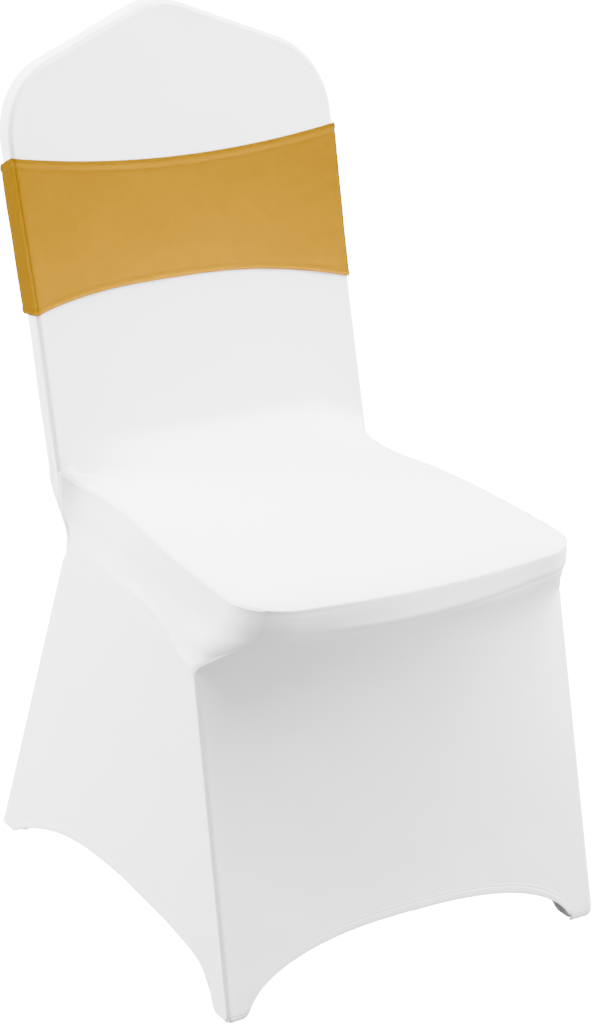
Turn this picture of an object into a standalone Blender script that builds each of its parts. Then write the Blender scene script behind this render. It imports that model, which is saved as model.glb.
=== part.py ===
"""Stretch chair cover with a sash band, hollow, as it sits on a crown-backed banquet chair.

Metres, +Z up. The origin is on the floor under the middle of the cover, the front faces -Y and the
cover is measured over its outer face. Each panel is one open sheet of cloth, lofted through its
sections, with its thickness turned inwards. Panels meet edge to edge along their seams.
"""

import math
from collections import namedtuple

import bmesh
import bpy
from mathutils import Vector

COLLECTION = "chair_cover_with_sash"

# Cloth
COVER_THICKNESS = 0.0020
BAND_THICKNESS = 0.0016
SEAM_GAP = 0.0005  # between the edges of two panels
CORNER_GAP = 0.0005  # more than that where the seams of the back, the seat and the side meet
SEAM_FLAT = 0.0012  # strip along a seam that lies in one plane on both panels
CORNER_TURN = 0.0058  # across a rounded corner, from its seam
CORNER_END = 0.0108
WELD = 0.00001

# Back of the chair: a leaning slab with a peaked crown
LEAN = 0.2681  # y for each metre of z
FRONT_FACE_Y = 0.0187  # the front face's plane at z = 0
BACK_DEPTH = 0.031
BACK_HALF = 0.1975
CROWN_HALF = 0.2015
FRONT_EDGE_RADIUS = 0.005
REAR_EDGE_RADIUS = 0.010
APEX_Z = 0.936  # where the two straight slopes of the crown would meet
CROWN_SLOPE = 0.385
APEX_RADIUS = 0.080
SHOULDER_RADIUS = 0.088
SLAB_BASE = 0.520  # below this the back blends into the seat and the skirt

# Seat
SEAT_FRONT_Z = 0.4387
SEAT_CROWN = 0.018
SEAT_SETBACK = 0.052  # how far forward of its side edges the seat starts behind, in the middle
CROWN_REACH = 0.030  # how far in from its edge the seat rises
EDGE_DIP = math.radians(32)  # slope of the cloth right at the seat's edge
SEAT_REAR_Y = 0.1435  # where the seams of the back, the seat and the side meet
SEAT_REAR_Z = 0.460

# Skirt, hung on four legs: each leg's corner line at the floor and how it slopes with height
LEG_HALF = 0.2314
LEG_HALF_SLOPE = -0.0164
FRONT_LEG_Y = -0.2818
FRONT_LEG_SLOPE = 0.2245
FRONT_LEG_RADIUS = 0.0045
REAR_LEG_HALF = 0.2215
REAR_LEG_HALF_SLOPE = -0.0694
REAR_LEG_Y = 0.2587
REAR_LEG_SLOPE = -0.3159
REAR_LEG_RADIUS = 0.012
SKIRT_TOP = 0.360
FOOT_HEIGHT = 0.016  # height over which a front foot's lower edge turns in
FOOT_TUCK = 0.012  # in y
FOOT_SIDE_TUCK = 0.005  # in x
REAR_FOOT_HEIGHT = 0.008
REAR_FOOT_TUCK = 0.004
HEM_LIFT = 0.001
HEM_OFFSETS = (0.034, 0.019, 0.009, 0.004, 0.0)  # rows above the hem
SKIRT_ROWS = 4

# Foot pockets
POCKET_THICKNESS = 0.0016
POCKET_RADIUS = 0.0045
POCKET_REAR_RADIUS = 0.008
POCKET_INNER_RADIUS = 0.012

# Sash band
BAND_STAND_OFF = 0.0022
BAND_SIDE_STAND_OFF = 0.0027
BAND_EDGE_RADIUS = 0.0065
BAND_HEM = 0.009
BAND_HEM_BULGE = 0.0007

# Columns across a panel, from a seam to the middle or to the next seam
FRONT_COLUMNS = 12
REAR_COLUMNS = 16
SIDE_COLUMNS = 19
GRADING = 1.6
SIDE_GRADING = 0.75  # 0 spreads the columns evenly, 1 crowds them towards both seams
SHOULDER_ROWS = 7
FILLET_STEPS = (0.0, 0.3, 0.55, 0.8)
SEAM_PLACES = (0.016, 0.006, 0.0, -0.0058)  # the same rows at the seam: above the corner, past it

EdgeRow = namedtuple("EdgeRow", "y half z")
SEAT_EDGE = (
    EdgeRow(-0.2165, 0.2000, 0.4390),
    EdgeRow(-0.1700, 0.1990, 0.4413),
    EdgeRow(-0.1250, 0.1970, 0.4435),
    EdgeRow(-0.0750, 0.1930, 0.4460),
    EdgeRow(-0.0130, 0.1860, 0.4480),
    EdgeRow(0.0350, 0.1790, 0.4475),
    EdgeRow(0.0820, 0.1780, 0.4480),
    EdgeRow(0.1200, 0.1835, 0.4500),
    EdgeRow(0.1435, 0.1960, 0.4600),
)

# Closed sections from the seat's edge down to the top of the skirt, each a row of every panel.
# z is at the front and rear_z at the back. The front runs from the middle (centre_y) back to a
# rounded corner, which it meets at a slope in degrees. The corner is an oval: radius is its half width
# across the front, and reach how far it runs back along the side. edge is how much of the seat edge's
# plan the side still follows.
Section = namedtuple(
    "Section",
    "z rear_z corner_x corner_y radius reach slope centre_y rear_half rear_y rear_radius rear_bow edge",
)
SECTIONS = (
    Section(0.4387, 0.460, 0.2000, -0.2795, 0.063, 0.063, 8, -0.2915, 0.1975, 0.1735, 0.012, 0.000, 1.00),
    Section(0.4300, 0.449, 0.2010, -0.2785, 0.062, 0.062, 9, -0.2922, 0.1973, 0.1730, 0.012, 0.001, 0.85),
    Section(0.4180, 0.438, 0.2025, -0.2760, 0.061, 0.061, 10, -0.2930, 0.1970, 0.1695, 0.012, 0.003, 0.65),
    Section(0.4095, 0.428, 0.2035, -0.2725, 0.062, 0.062, 12, -0.2925, 0.1967, 0.1632, 0.012, 0.006, 0.50),
    Section(0.4040, 0.418, 0.2055, -0.2690, 0.063, 0.063, 14, -0.2890, 0.1961, 0.1555, 0.012, 0.009, 0.41),
    Section(0.3985, 0.409, 0.2095, -0.2638, 0.063, 0.064, 17, -0.2855, 0.1958, 0.1480, 0.012, 0.012, 0.31),
    Section(0.3920, 0.399, 0.2145, -0.2550, 0.059, 0.064, 20, -0.2820, 0.1955, 0.1410, 0.012, 0.015, 0.19),
    Section(0.3840, 0.389, 0.2195, -0.2415, 0.048, 0.056, 24, -0.2785, 0.1955, 0.1375, 0.012, 0.018, 0.07),
    Section(0.3740, 0.376, 0.2230, -0.2232, 0.026, 0.037, 28, -0.2750, 0.1956, 0.1388, 0.012, 0.020, 0.01),
    Section(0.3665, 0.367, 0.2256, -0.2088, 0.012, 0.018, 31, -0.2735, 0.1956, 0.1400, 0.012, 0.020, 0.00),
)

# How far the skirt's middle stands out past the legs, in front and behind
BowRow = namedtuple("BowRow", "z front rear")
SKIRT_BOWS = (
    BowRow(0.000, 0.0000, 0.000),
    BowRow(0.060, 0.0015, 0.001),
    BowRow(0.120, 0.0070, 0.004),
    BowRow(0.200, 0.0205, 0.009),
    BowRow(0.280, 0.0400, 0.015),
    BowRow(0.330, 0.0573, 0.019),
    BowRow(0.360, 0.0705, 0.020),
)

# Halves of the arched hems, each from its crest to where it runs out beside a foot
HalfArch = namedtuple("HalfArch", "middle end crest sag power root")
FRONT_ARCH = (HalfArch(0.0, -0.207, 0.0665, 0.0, 2.5, 0.5), HalfArch(0.0, 0.201, 0.0660, 0.0, 2.3, 0.5))
REAR_ARCH = (HalfArch(0.0, -0.198, 0.0620, 0.0, 2.5, 0.5), HalfArch(0.0, 0.198, 0.0620, 0.0, 2.5, 0.5))
SIDE_ARCH = (HalfArch(-0.03, -0.2435, 0.0620, 0.25, 12.0, 0.5), HalfArch(-0.03, 0.224, 0.0620, 0.0, 2.4, 1.0))

# Pocket walls at a height: set in from the leg's corner line, and their reach along x and y
PocketRow = namedtuple("PocketRow", "z side_inset end_inset width length")
POCKET_ROWS = (
    PocketRow(0.0380, 0.0041, 0.0024, 0.0400, 0.0580),
    PocketRow(0.0120, 0.0060, 0.0058, 0.0300, 0.0450),
    PocketRow(0.0050, 0.0074, 0.0092, 0.0276, 0.0426),
    PocketRow(0.0007, 0.0098, 0.0132, 0.0250, 0.0400),
    PocketRow(0.0000, 0.0110, 0.0147, 0.0235, 0.0385),
)

# Upper and lower edges of the band across the front face: height in the middle, how far it rises or
# falls by each side, and the power of the curve
BandEdge = namedtuple("BandEdge", "middle left right left_power right_power")
BAND_TOP = BandEdge(0.7688, 0.0172, 0.0150, 2.0, 2.0)
BAND_BOTTOM = BandEdge(0.6425, -0.0194, -0.0270, 3.2, 2.0)
BAND_TOP_DROP = 0.013  # how much lower each edge is on the rear face
BAND_BOTTOM_DROP = 0.004
BAND_ROWS = 8
BAND_FACE_STEPS = 14
BAND_CORNER_STEPS = 3

WHITE = (0.84, 0.85, 0.86, 1.0)
WHITE_POCKET = (0.80, 0.81, 0.82, 1.0)
GOLDEN_YELLOW = (0.92, 0.47, 0.03, 1.0)


def mix(a, b, share):
    return a + (b - a) * share


def ease(share):
    share = min(max(share, 0.0), 1.0)
    return share * share * (3 - 2 * share)


def spline(rows, key, column, at):
    """Value of a column at a place, on a smooth curve through the rows, which rise in their key."""
    places = [getattr(row, key) for row in rows]
    values = [getattr(row, column) for row in rows]
    at = min(max(at, places[0]), places[-1])
    index = max(i for i in range(len(rows) - 1) if places[i] <= at)

    def slope(i):
        low, high = max(i - 1, 0), min(i + 1, len(rows) - 1)
        return (values[high] - values[low]) / (places[high] - places[low])

    width = places[index + 1] - places[index]
    t = (at - places[index]) / width
    return (
        values[index] * (1 + 2 * t) * (1 - t) ** 2
        + values[index + 1] * t * t * (3 - 2 * t)
        + slope(index) * width * t * (1 - t) ** 2
        - slope(index + 1) * width * t * t * (1 - t)
    )


def arch_height(arch, at):
    half = arch[0] if at < arch[0].middle else arch[1]
    share = min(abs((at - half.middle) / (half.end - half.middle)), 1.0)
    height = half.crest * (1 - half.sag * share**2) * (1 - share**half.power) ** half.root
    return max(height, HEM_LIFT)


def arc(centre, radius, start, end, steps):
    """Plan points of an arc; angles in degrees, 0 towards +X."""
    return [
        Vector((
            centre[0] + radius * math.cos(math.radians(mix(start, end, i / steps))),
            centre[1] + radius * math.sin(math.radians(mix(start, end, i / steps))),
        ))
        for i in range(steps + 1)
    ]


def bezier(points, t):
    a, b, c, d = points
    return a * (1 - t) ** 3 + b * 3 * t * (1 - t) ** 2 + c * 3 * t * t * (1 - t) + d * t**3


def rounded(before, corner, after, radius, steps):
    """Plan points of the arc that rounds a corner between two others."""
    back, on = (before - corner).normalized(), (after - corner).normalized()
    half = back.angle(on) / 2
    centre = corner + (back + on).normalized() * radius / math.sin(half)
    start = corner + back * (radius / math.tan(half)) - centre
    turn = (math.pi - 2 * half) * math.copysign(1, back.cross(on) * -1)
    points = []
    for i in range(steps + 1):
        angle = turn * i / steps
        cosine, sine = math.cos(angle), math.sin(angle)
        points.append(centre + Vector((start.x * cosine - start.y * sine, start.x * sine + start.y * cosine)))
    return points


# ---- Paths that can be walked by distance -------------------------------------------------------


def lengths(path):
    total = [0.0]
    for a, b in zip(path, path[1:]):
        total.append(total[-1] + (b - a).length)
    return total


def walk(path, total, distance):
    """Point at a distance along a path."""
    distance = min(max(distance, 0.0), total[-1])
    index = max(i for i in range(len(path) - 1) if total[i] <= distance)
    step = total[index + 1] - total[index]
    return path[index].lerp(path[index + 1], (distance - total[index]) / step)


def heading(path, total, distance):
    """Direction of a path at a distance along it; straight on at the crown's two ends."""
    reach = SEAM_FLAT / 2
    if distance >= total[-1]:
        return Vector((-1, 0, 0))
    ahead = walk(path, total, distance + reach) - walk(path, total, distance - reach)
    return ahead.normalized()


def graded(length, columns):
    """Distances from a seam to the middle: close together round the corner, then wider."""
    near = [0.0, SEAM_FLAT, CORNER_TURN, CORNER_END]
    steps = columns - len(near) + 1
    far = [mix(CORNER_END, length, (i / steps) ** GRADING) for i in range(1, steps + 1)]
    return near + far


def side_distances(length):
    """Distances from the front seam to the rear seam, close together at both."""
    near = [0.0, SEAM_FLAT, CORNER_TURN, CORNER_END]
    steps = SIDE_COLUMNS - 2 * len(near) + 1
    shares = [mix(i / steps, (1 - math.cos(math.pi * i / steps)) / 2, SIDE_GRADING) for i in range(1, steps)]
    middle = [mix(CORNER_END, length - CORNER_END, share) for share in shares]
    return near + middle + [length - distance for distance in near[::-1]]


def from_seam(path, total, seam, end, distances):
    """Points from a seam towards another place on the path, flat beside the seam."""
    turn = 1 if end > seam else -1
    start = walk(path, total, seam)
    along = heading(path, total, seam) * turn
    points = [start + along * SEAM_GAP / 2, start + along * SEAM_FLAT]
    return points + [walk(path, total, seam + turn * distance) for distance in distances[2:]]


# ---- Skirt sections -----------------------------------------------------------------------------


def turn_in(z, height):
    """Share of a foot's tuck at a height."""
    return 1 - math.sqrt(1 - max(0.0, 1 - z / height) ** 2)


def skirt_section(z):
    """Section of the skirt at a height below its top, between the four legs."""
    tuck, rear_tuck = turn_in(z, FOOT_HEIGHT), turn_in(z, REAR_FOOT_HEIGHT)
    corner_x = LEG_HALF + LEG_HALF_SLOPE * z - FOOT_SIDE_TUCK * tuck
    corner_y = FRONT_LEG_Y + FRONT_LEG_SLOPE * z + FOOT_TUCK * tuck
    bow = spline(SKIRT_BOWS, "z", "front", z)
    return Section(
        z=z,
        rear_z=z,
        corner_x=corner_x,
        corner_y=corner_y,
        radius=FRONT_LEG_RADIUS,
        reach=FRONT_LEG_RADIUS,
        slope=math.degrees(math.atan(2 * bow / corner_x)),
        centre_y=corner_y - bow,
        rear_half=REAR_LEG_HALF + REAR_LEG_HALF_SLOPE * z,
        rear_y=REAR_LEG_Y + REAR_LEG_SLOPE * z - REAR_FOOT_TUCK * rear_tuck,
        rear_radius=REAR_LEG_RADIUS,
        rear_bow=spline(SKIRT_BOWS, "z", "rear", z),
        edge=0.0,
    )


def side_half(section, y, y_front, y_rear):
    """Half width of a section along its side."""
    share = (y - y_front) / (y_rear - y_front)
    straight = mix(section.corner_x, section.rear_half, share)
    first, last = SECTIONS[0].corner_x, SECTIONS[0].rear_half
    wider = mix(section.corner_x - first, section.rear_half - last, min(max(share, 0), 1))
    return mix(straight, spline(SEAT_EDGE, "y", "half", y) + wider, section.edge)


def side_height(section, y):
    """Height of a section along its side, which rises to the rear as the seat's edge does."""
    rise = spline(SEAT_EDGE, "y", "z", y) - SEAT_FRONT_Z
    return mix(section.z, section.rear_z, rise / (SEAT_REAR_Z - SEAT_FRONT_Z))


def outline(section):
    """Right half of a section from the front middle to the rear middle, as a path with its seams."""
    y_front, y_rear = section.corner_y + section.reach, section.rear_y - section.rear_radius
    slope, stretch = math.radians(section.slope), section.reach / section.radius
    first_angle = math.degrees(math.atan(math.tan(slope) / stretch)) - 90
    around = (section.corner_x - section.radius, 0)
    corner = arc(around, section.radius, first_angle, -45, 8) + arc(around, section.radius, -45, 0, 8)[1:]
    for point in corner:
        point.y = y_front + point.y * stretch
    middle, end = Vector((0, section.centre_y)), corner[0]
    leave = middle + Vector((end.x * 0.4, 0))
    arrive = end - Vector((math.cos(slope), math.sin(slope))) * end.x * 0.35
    front = [bezier((middle, leave, arrive, end), i / 24) for i in range(24)] + corner
    side = [Vector((0, mix(y_front, y_rear, i / 40))) for i in range(1, 40)]
    for point in side:
        point.x = side_half(section, point.y, y_front, y_rear)
    rear_x = section.rear_half - section.rear_radius
    rear_corner = arc((rear_x, y_rear), section.rear_radius, 0, 90, 12)
    behind = [
        Vector((rear_x * (1 - i / 20), section.rear_y + section.rear_bow * (1 - (1 - i / 20) ** 2)))
        for i in range(1, 21)
    ]
    heights = [section.z] * len(front) + [side_height(section, p.y) for p in side]
    heights += [section.rear_z] * (len(rear_corner) + len(behind))
    plan = front + side + rear_corner + behind
    path = [Vector((p.x, p.y, z)) for p, z in zip(plan, heights)]
    total = lengths(path)
    front_seam = total[24 + 8]
    seam_y = rear_corner[6].y if section.edge == 0 else min(SEAT_REAR_Y, rear_corner[6].y)
    first = len(front)
    last = max(i for i in range(first, first + len(side) + 7) if path[i].y <= seam_y)
    share = (seam_y - path[last].y) / (path[last + 1].y - path[last].y)
    rear_seam = mix(total[last], total[last + 1], share)
    return path, total, front_seam, rear_seam


def mirrored(points):
    return [Vector((-p.x, p.y, p.z)) for p in points]


def across(half):
    """A whole row, left to right, from its right half, which runs from the seam to the middle."""
    return mirrored(half) + half[:-1][::-1]


# ---- Slab of the back ---------------------------------------------------------------------------


def face_y(z):
    return FRONT_FACE_Y + LEAN * z


def slab_half(z):
    return mix(BACK_HALF, CROWN_HALF, ease((z - 0.60) / 0.20))


def crown_path():
    """Outline of the slab seen from in front, right base to the apex, in (x, 0, z)."""
    angle = math.atan(CROWN_SLOPE)
    shoulder_z = APEX_Z - CROWN_SLOPE * CROWN_HALF
    reach = SHOULDER_RADIUS * math.tan((math.pi / 2 - angle) / 2)
    centre = (CROWN_HALF - SHOULDER_RADIUS, shoulder_z - reach)
    top = APEX_Z - APEX_RADIUS * (1 / math.cos(angle))
    side = [Vector((slab_half(z), z)) for z in (mix(SLAB_BASE, centre[1], i / 20) for i in range(20))]
    shoulder = arc(centre, SHOULDER_RADIUS, 0, 90 - math.degrees(angle), 24)
    apex = arc((0, top), APEX_RADIUS, 90 - math.degrees(angle), 90, 12)
    path = [Vector((p.x, 0, p.y)) for p in side + shoulder + apex]
    middle = len(side) + 14
    return path, lengths(path), middle


def crown_rings(insets, columns):
    """Rings inside the crown's outline, left base over the apex to the right base.

    insets are (inset, depth) pairs; columns is half the number of steps over the top.
    """
    path, total, middle = crown_path()
    rise, over = total[middle], total[-1] - total[middle]
    side = [rise * (1 - (1 - i / SHOULDER_ROWS) ** 1.6) for i in range(SHOULDER_ROWS)]
    top = [rise + over * (i / columns) ** 1.2 for i in range(columns + 1)]
    rings = []
    for inset, depth in insets:
        half = []
        for distance in side + top:
            point = walk(path, total, distance)
            along = heading(path, total, distance)
            inward = Vector((-along.z, 0, along.x))
            point = point + inward * inset
            half.append(Vector((point.x, face_y(point.z) + depth, point.z)))
        half[-1].x = 0.0
        rings.append(mirrored(half) + half[:-1][::-1])
    return rings


def coons(top, bottom, left, right):
    """Patch between four boundary rows of points, rows from the top down."""
    grid = []
    for j, (a, b) in enumerate(zip(left, right)):
        v = j / (len(left) - 1)
        row = []
        for i, (t, f) in enumerate(zip(top, bottom)):
            u = i / (len(top) - 1)
            ruled = t * (1 - v) + f * v + a * (1 - u) + b * u
            corners = (top[0] * (1 - u) + top[-1] * u) * (1 - v)
            corners += (bottom[0] * (1 - u) + bottom[-1] * u) * v
            row.append(ruled - corners)
        grid.append(row)
    return grid


def crown_grids(insets, columns):
    """Border strip and inner patch of one face of the slab above its base, and its base row."""
    rings = crown_rings(insets, columns)
    inner = rings[-1]
    rows, steps = SHOULDER_ROWS, 2 * columns
    left = inner[: rows + 1][::-1]
    top = inner[rows : rows + steps + 1]
    right = inner[rows + steps :]
    depth = insets[-1][1]
    base = []
    for i in range(steps + 1):
        share = 1 - (1 - abs(i / columns - 1)) ** GRADING
        x = math.copysign(share, i - columns) * right[-1].x
        base.append(Vector((x, face_y(SLAB_BASE) + depth, SLAB_BASE)))
    patch = coons(top, base, left, right)
    for row in patch[1:-1]:
        for point in row[1:-1]:
            point.y = face_y(point.z) + depth
    base_row = [ring[0] for ring in rings[:-1]] + base + [ring[-1] for ring in rings[:-1]][::-1]
    return [rings, patch], base_row


# ---- Front panel --------------------------------------------------------------------------------


def slab_front_insets():
    """(inset, depth) of the front panel's border columns on the slab."""
    seam = FRONT_EDGE_RADIUS * (1 - math.sqrt(0.5))
    near = SEAM_GAP / 2 * math.sqrt(0.5)
    flat = SEAM_FLAT * math.sqrt(0.5)
    return [
        (seam + near, seam - near),
        (seam + flat, seam - flat),
        (CORNER_TURN, 0.0),
        (CORNER_END, 0.0),
    ]


def seat_edge():
    """Seat edge's right side as (distances, points), in the places where the side panel has columns."""
    path, total, front_seam, rear_seam = outline(SECTIONS[0])
    distances = side_distances(rear_seam - front_seam)
    return distances, [walk(path, total, front_seam + distance) for distance in distances]


def seat_height(point, side, front):
    """Height of the seat at a plan point, from its distances to the side edge and the front edge."""
    level = spline(SEAT_EDGE, "y", "z", min(point.y, mix(SEAT_REAR_Y, 0.09, ease(side / 0.03))))
    level = mix(SEAT_FRONT_Z, level, ease(front / 0.05)) if point.y < -0.2165 else level
    rise = (1 - math.exp(-side / CROWN_REACH)) * (1 - math.exp(-front / CROWN_REACH))
    return level + SEAT_CROWN * rise


def seat_rows():
    """Rows of the seat from behind to its front edge, right half, each from the seam to the middle."""
    distances, points = seat_edge()
    distances, left = distances[:-3][::-1], points[:-3][::-1]
    shares_down = [1 - distance / distances[0] for distance in distances]
    path, ring, front_seam, _ = outline(SECTIONS[0])
    front = from_seam(path, ring, front_seam, 0.0, graded(front_seam, FRONT_COLUMNS))
    width = left[0].x
    shares = [distance / width for distance in graded(width, FRONT_COLUMNS)]
    setback = [SEAT_SETBACK * ease(share / 0.5) for share in shares]
    rear = [Vector((width * (1 - share), left[0].y - back, 0)) for share, back in zip(shares, setback)]
    middle = [rear[-1].lerp(front[-1], share) for share in shares_down]
    rows = []
    for v, side_point, middle_point in zip(shares_down, left, middle):
        row = []
        for i, u in enumerate(shares):
            ruled = rear[i] * (1 - v) + front[i] * v + side_point * (1 - u) + middle_point * u
            corners = (rear[0] * (1 - u) + rear[-1] * u) * (1 - v)
            corners += (front[0] * (1 - u) + front[-1] * u) * v
            point = ruled - corners
            side = (point.xy - side_point.xy).length
            ahead = (point.xy - front[i].xy).length
            point.z = seat_height(point, side, ahead)
            row.append(point)
        for i, distance in ((0, SEAM_GAP / 2), (1, SEAM_FLAT)):
            row[i] = drop_from_edge(side_point, -distance)
        rows.append(row)
    return rows


def blend_rows(base_half, seat_half):
    """Rows of the soft turn from the back's front face down into the seat.

    The two columns beside the seam keep to it and turn sharply where it meets the seat's edge.
    """
    _, edge = seat_edge()
    edge = edge[::-1]
    total = lengths(edge)
    rows = []
    for t, seam_place in zip(FILLET_STEPS, SEAM_PLACES):
        row = []
        for i, (upper, lower) in enumerate(zip(base_half, seat_half)):
            depth = upper.y - face_y(upper.z)
            share = ease((i - 1) / 5)
            start_z = mix(SEAT_REAR_Z + 0.020, 0.492, share)
            start = Vector((upper.x, face_y(start_z) + depth, start_z))
            knee_z = mix(SEAT_REAR_Z + 0.002, lower.z + 0.001, share)
            knee = Vector((mix(upper.x, lower.x, 0.5), face_y(knee_z) + depth, knee_z))
            row.append(start * (1 - t) ** 2 + knee * 2 * t * (1 - t) + lower * t * t)
        for i, distance in ((0, SEAM_GAP / 2), (1, SEAM_FLAT)):
            if seam_place >= 0:
                up = base_half[i]
                row[i] = up + Vector((0, LEAN, 1)) * (SEAT_REAR_Z + seam_place - up.z)
            else:
                row[i] = drop_from_edge(walk(edge, total, -seam_place), -distance)
        rows.append(row)
    return rows


def skirt_rows(run, arch, along):
    """Rows from under the skirt's top down to its hem; run(z) gives a whole row at one height."""
    hems = [arch_height(arch, getattr(point, along)) for point in run(HEM_OFFSETS[0])]
    steps = [(1 - j / SKIRT_ROWS, HEM_OFFSETS[0]) for j in range(1, SKIRT_ROWS)]
    steps += [(0.0, offset) for offset in HEM_OFFSETS]
    rows = []
    for share, offset in steps:
        row = []
        for i, hem in enumerate(hems):
            z = mix(hem + offset, SKIRT_TOP, share)
            row.append(run(z)[i])
        rows.append(row)
    return rows


def front_row(section):
    path, total, front_seam, _ = outline(section)
    return across(from_seam(path, total, front_seam, 0.0, graded(front_seam, FRONT_COLUMNS)))


def rear_row(section):
    path, total, _, rear_seam = outline(section)
    length = total[-1] - rear_seam
    half = from_seam(path, total, rear_seam, total[-1], rear_distances(length))
    return across(half)[::-1]


def side_row(section):
    """Right side's row from the front seam to the rear seam."""
    path, total, front_seam, rear_seam = outline(section)
    distances = side_distances(rear_seam - front_seam)
    first = from_seam(path, total, front_seam, rear_seam, distances[:4])
    last = from_seam(path, total, rear_seam, front_seam, distances[:4])
    middle = [walk(path, total, front_seam + distance) for distance in distances[4:-4]]
    return first + middle + last[::-1]


def front_panel():
    grids, base = crown_grids(slab_front_insets(), FRONT_COLUMNS - 3)
    seat = seat_rows()
    turn = blend_rows(base[FRONT_COLUMNS:][::-1], seat[0])
    rows = [base] + [across(row) for row in turn + seat]
    rows.append([drop_from_edge(p, SEAM_FLAT) for p in front_row(SECTIONS[0])])
    rows += [front_row(section) for section in SECTIONS[1:]]
    rows.append(front_row(skirt_section(SKIRT_TOP)))
    rows += skirt_rows(lambda z: front_row(skirt_section(z)), FRONT_ARCH, "x")
    return grids + [rows]


def drop_from_edge(point, distance):
    """A point of the seat's edge moved out and down across the edge's own slope."""
    corner = SECTIONS[0]
    centre = Vector((corner.corner_x - corner.radius, corner.corner_y + corner.radius))
    if point.y > centre.y:
        out = Vector((math.copysign(1, point.x), 0, 0))
    elif abs(point.x) > centre.x:
        out = Vector((point.x - math.copysign(centre.x, point.x), point.y - centre.y, 0)).normalized()
    else:
        out = Vector((0, -1, 0))
    return point + (out * math.cos(EDGE_DIP) - Vector((0, 0, math.sin(EDGE_DIP)))) * distance


# ---- Back panel and side panels -----------------------------------------------------------------


def rear_distances(length):
    near = [0.0, SEAM_FLAT, 0.0060, 0.0120, 0.0170, 0.0225, 0.0285, 0.0345]
    steps = REAR_COLUMNS - len(near) + 1
    far = [mix(near[-1], length, (i / steps) ** GRADING) for i in range(1, steps + 1)]
    return near + far


def slab_rear_insets():
    """(inset, depth) of the back panel's border columns: round the thin side and the rear edge."""
    seam = FRONT_EDGE_RADIUS * (1 - math.sqrt(0.5))
    near = SEAM_GAP / 2 * math.sqrt(0.5)
    flat = SEAM_FLAT * math.sqrt(0.5)
    turn = REAR_EDGE_RADIUS * (1 - math.cos(math.radians(30)))
    rest = REAR_EDGE_RADIUS * (1 - math.cos(math.radians(60)))
    return [
        (seam - near, seam + near),
        (seam - flat, seam + flat),
        (0.0, FRONT_EDGE_RADIUS + 0.001),
        (0.0, 0.0125),
        (0.0, BACK_DEPTH - REAR_EDGE_RADIUS),
        (turn, BACK_DEPTH - rest),
        (rest, BACK_DEPTH - turn),
        (REAR_EDGE_RADIUS, BACK_DEPTH),
    ]


def back_panel():
    grids, base = crown_grids(slab_rear_insets(), REAR_COLUMNS - 7)
    grids = [[row[::-1] for row in grid] for grid in grids]
    rows = [base[::-1]]
    join = rear_row(SECTIONS[0])
    last = len(join) - 1
    for share in (0.35, 0.7, 1.0):
        z = mix(SLAB_BASE, SEAT_REAR_Z, share)
        row = []
        for i, (upper, lower) in enumerate(zip(rows[0], join)):
            straight = upper + Vector((0, LEAN, 1)) * (z - upper.z)
            beside_seam = i < 2 or i > last - 2
            if beside_seam:
                row.append(straight + Vector((0, CORNER_GAP * share, 0)))
            else:
                row.append(straight.lerp(upper.lerp(lower, share), share))
        rows.append(row)
    rows += [rear_row(section) for section in SECTIONS[1:]]
    rows.append(rear_row(skirt_section(SKIRT_TOP)))
    rows += skirt_rows(lambda z: rear_row(skirt_section(z)), REAR_ARCH, "x")
    return grids + [rows]


def side_panel():
    """Right side's sheet, columns from the front seam to the rear seam."""
    edge = side_row(SECTIONS[0])
    rows = [[drop_from_edge(p, SEAM_GAP / 2) for p in edge]]
    rows.append([drop_from_edge(p, SEAM_FLAT) for p in edge])
    rows += [side_row(section) for section in SECTIONS[1:]]
    rows.append(side_row(skirt_section(SKIRT_TOP)))
    rows += skirt_rows(lambda z: side_row(skirt_section(z)), SIDE_ARCH, "y")
    return [rows]


# ---- Foot pockets -------------------------------------------------------------------------------


def pocket_rings(front):
    """Closed rings of the right-hand pocket from its mouth down to its sole."""
    rings = []
    for row in POCKET_ROWS:
        if front:
            corner_x = LEG_HALF + LEG_HALF_SLOPE * row.z
            corner_y = FRONT_LEG_Y + FRONT_LEG_SLOPE * row.z
            ends = (corner_y + row.end_inset, corner_y + row.length)
        else:
            corner_x = REAR_LEG_HALF + REAR_LEG_HALF_SLOPE * row.z
            corner_y = REAR_LEG_Y + REAR_LEG_SLOPE * row.z
            ends = (corner_y - row.length, corner_y - row.end_inset)
        rings.append(rounded_ring(corner_x - row.width, corner_x - row.side_inset, ends, front, row.z))
    return rings


def rounded_ring(x_low, x_high, ends, front, z):
    """Rounded plan of a pocket; the corner towards the middle of the chair is the softest."""
    y_low, y_high = ends
    outer = POCKET_RADIUS if front else POCKET_REAR_RADIUS
    corners = (
        (Vector((x_high, y_low)), outer if front else POCKET_RADIUS),
        (Vector((x_high, y_high)), POCKET_RADIUS if front else outer),
        (Vector((x_low, y_high)), POCKET_INNER_RADIUS if front else POCKET_RADIUS),
        (Vector((x_low, y_low)), POCKET_RADIUS if front else POCKET_INNER_RADIUS),
    )
    ring = []
    for i, (corner, radius) in enumerate(corners):
        before, after = corners[i - 1][0], corners[(i + 1) % 4][0]
        ring += [Vector((p.x, p.y, z)) for p in rounded(before, corner, after, radius, 2)]
    return ring + ring[:1]


# ---- Sash band ----------------------------------------------------------------------------------


def band_edge_z(edge, drop, x, depth_share):
    side, power = (edge.left, edge.left_power) if x < 0 else (edge.right, edge.right_power)
    share = min(abs(x) / BACK_HALF, 1.0)
    return edge.middle + side * share**power - drop * depth_share


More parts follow.
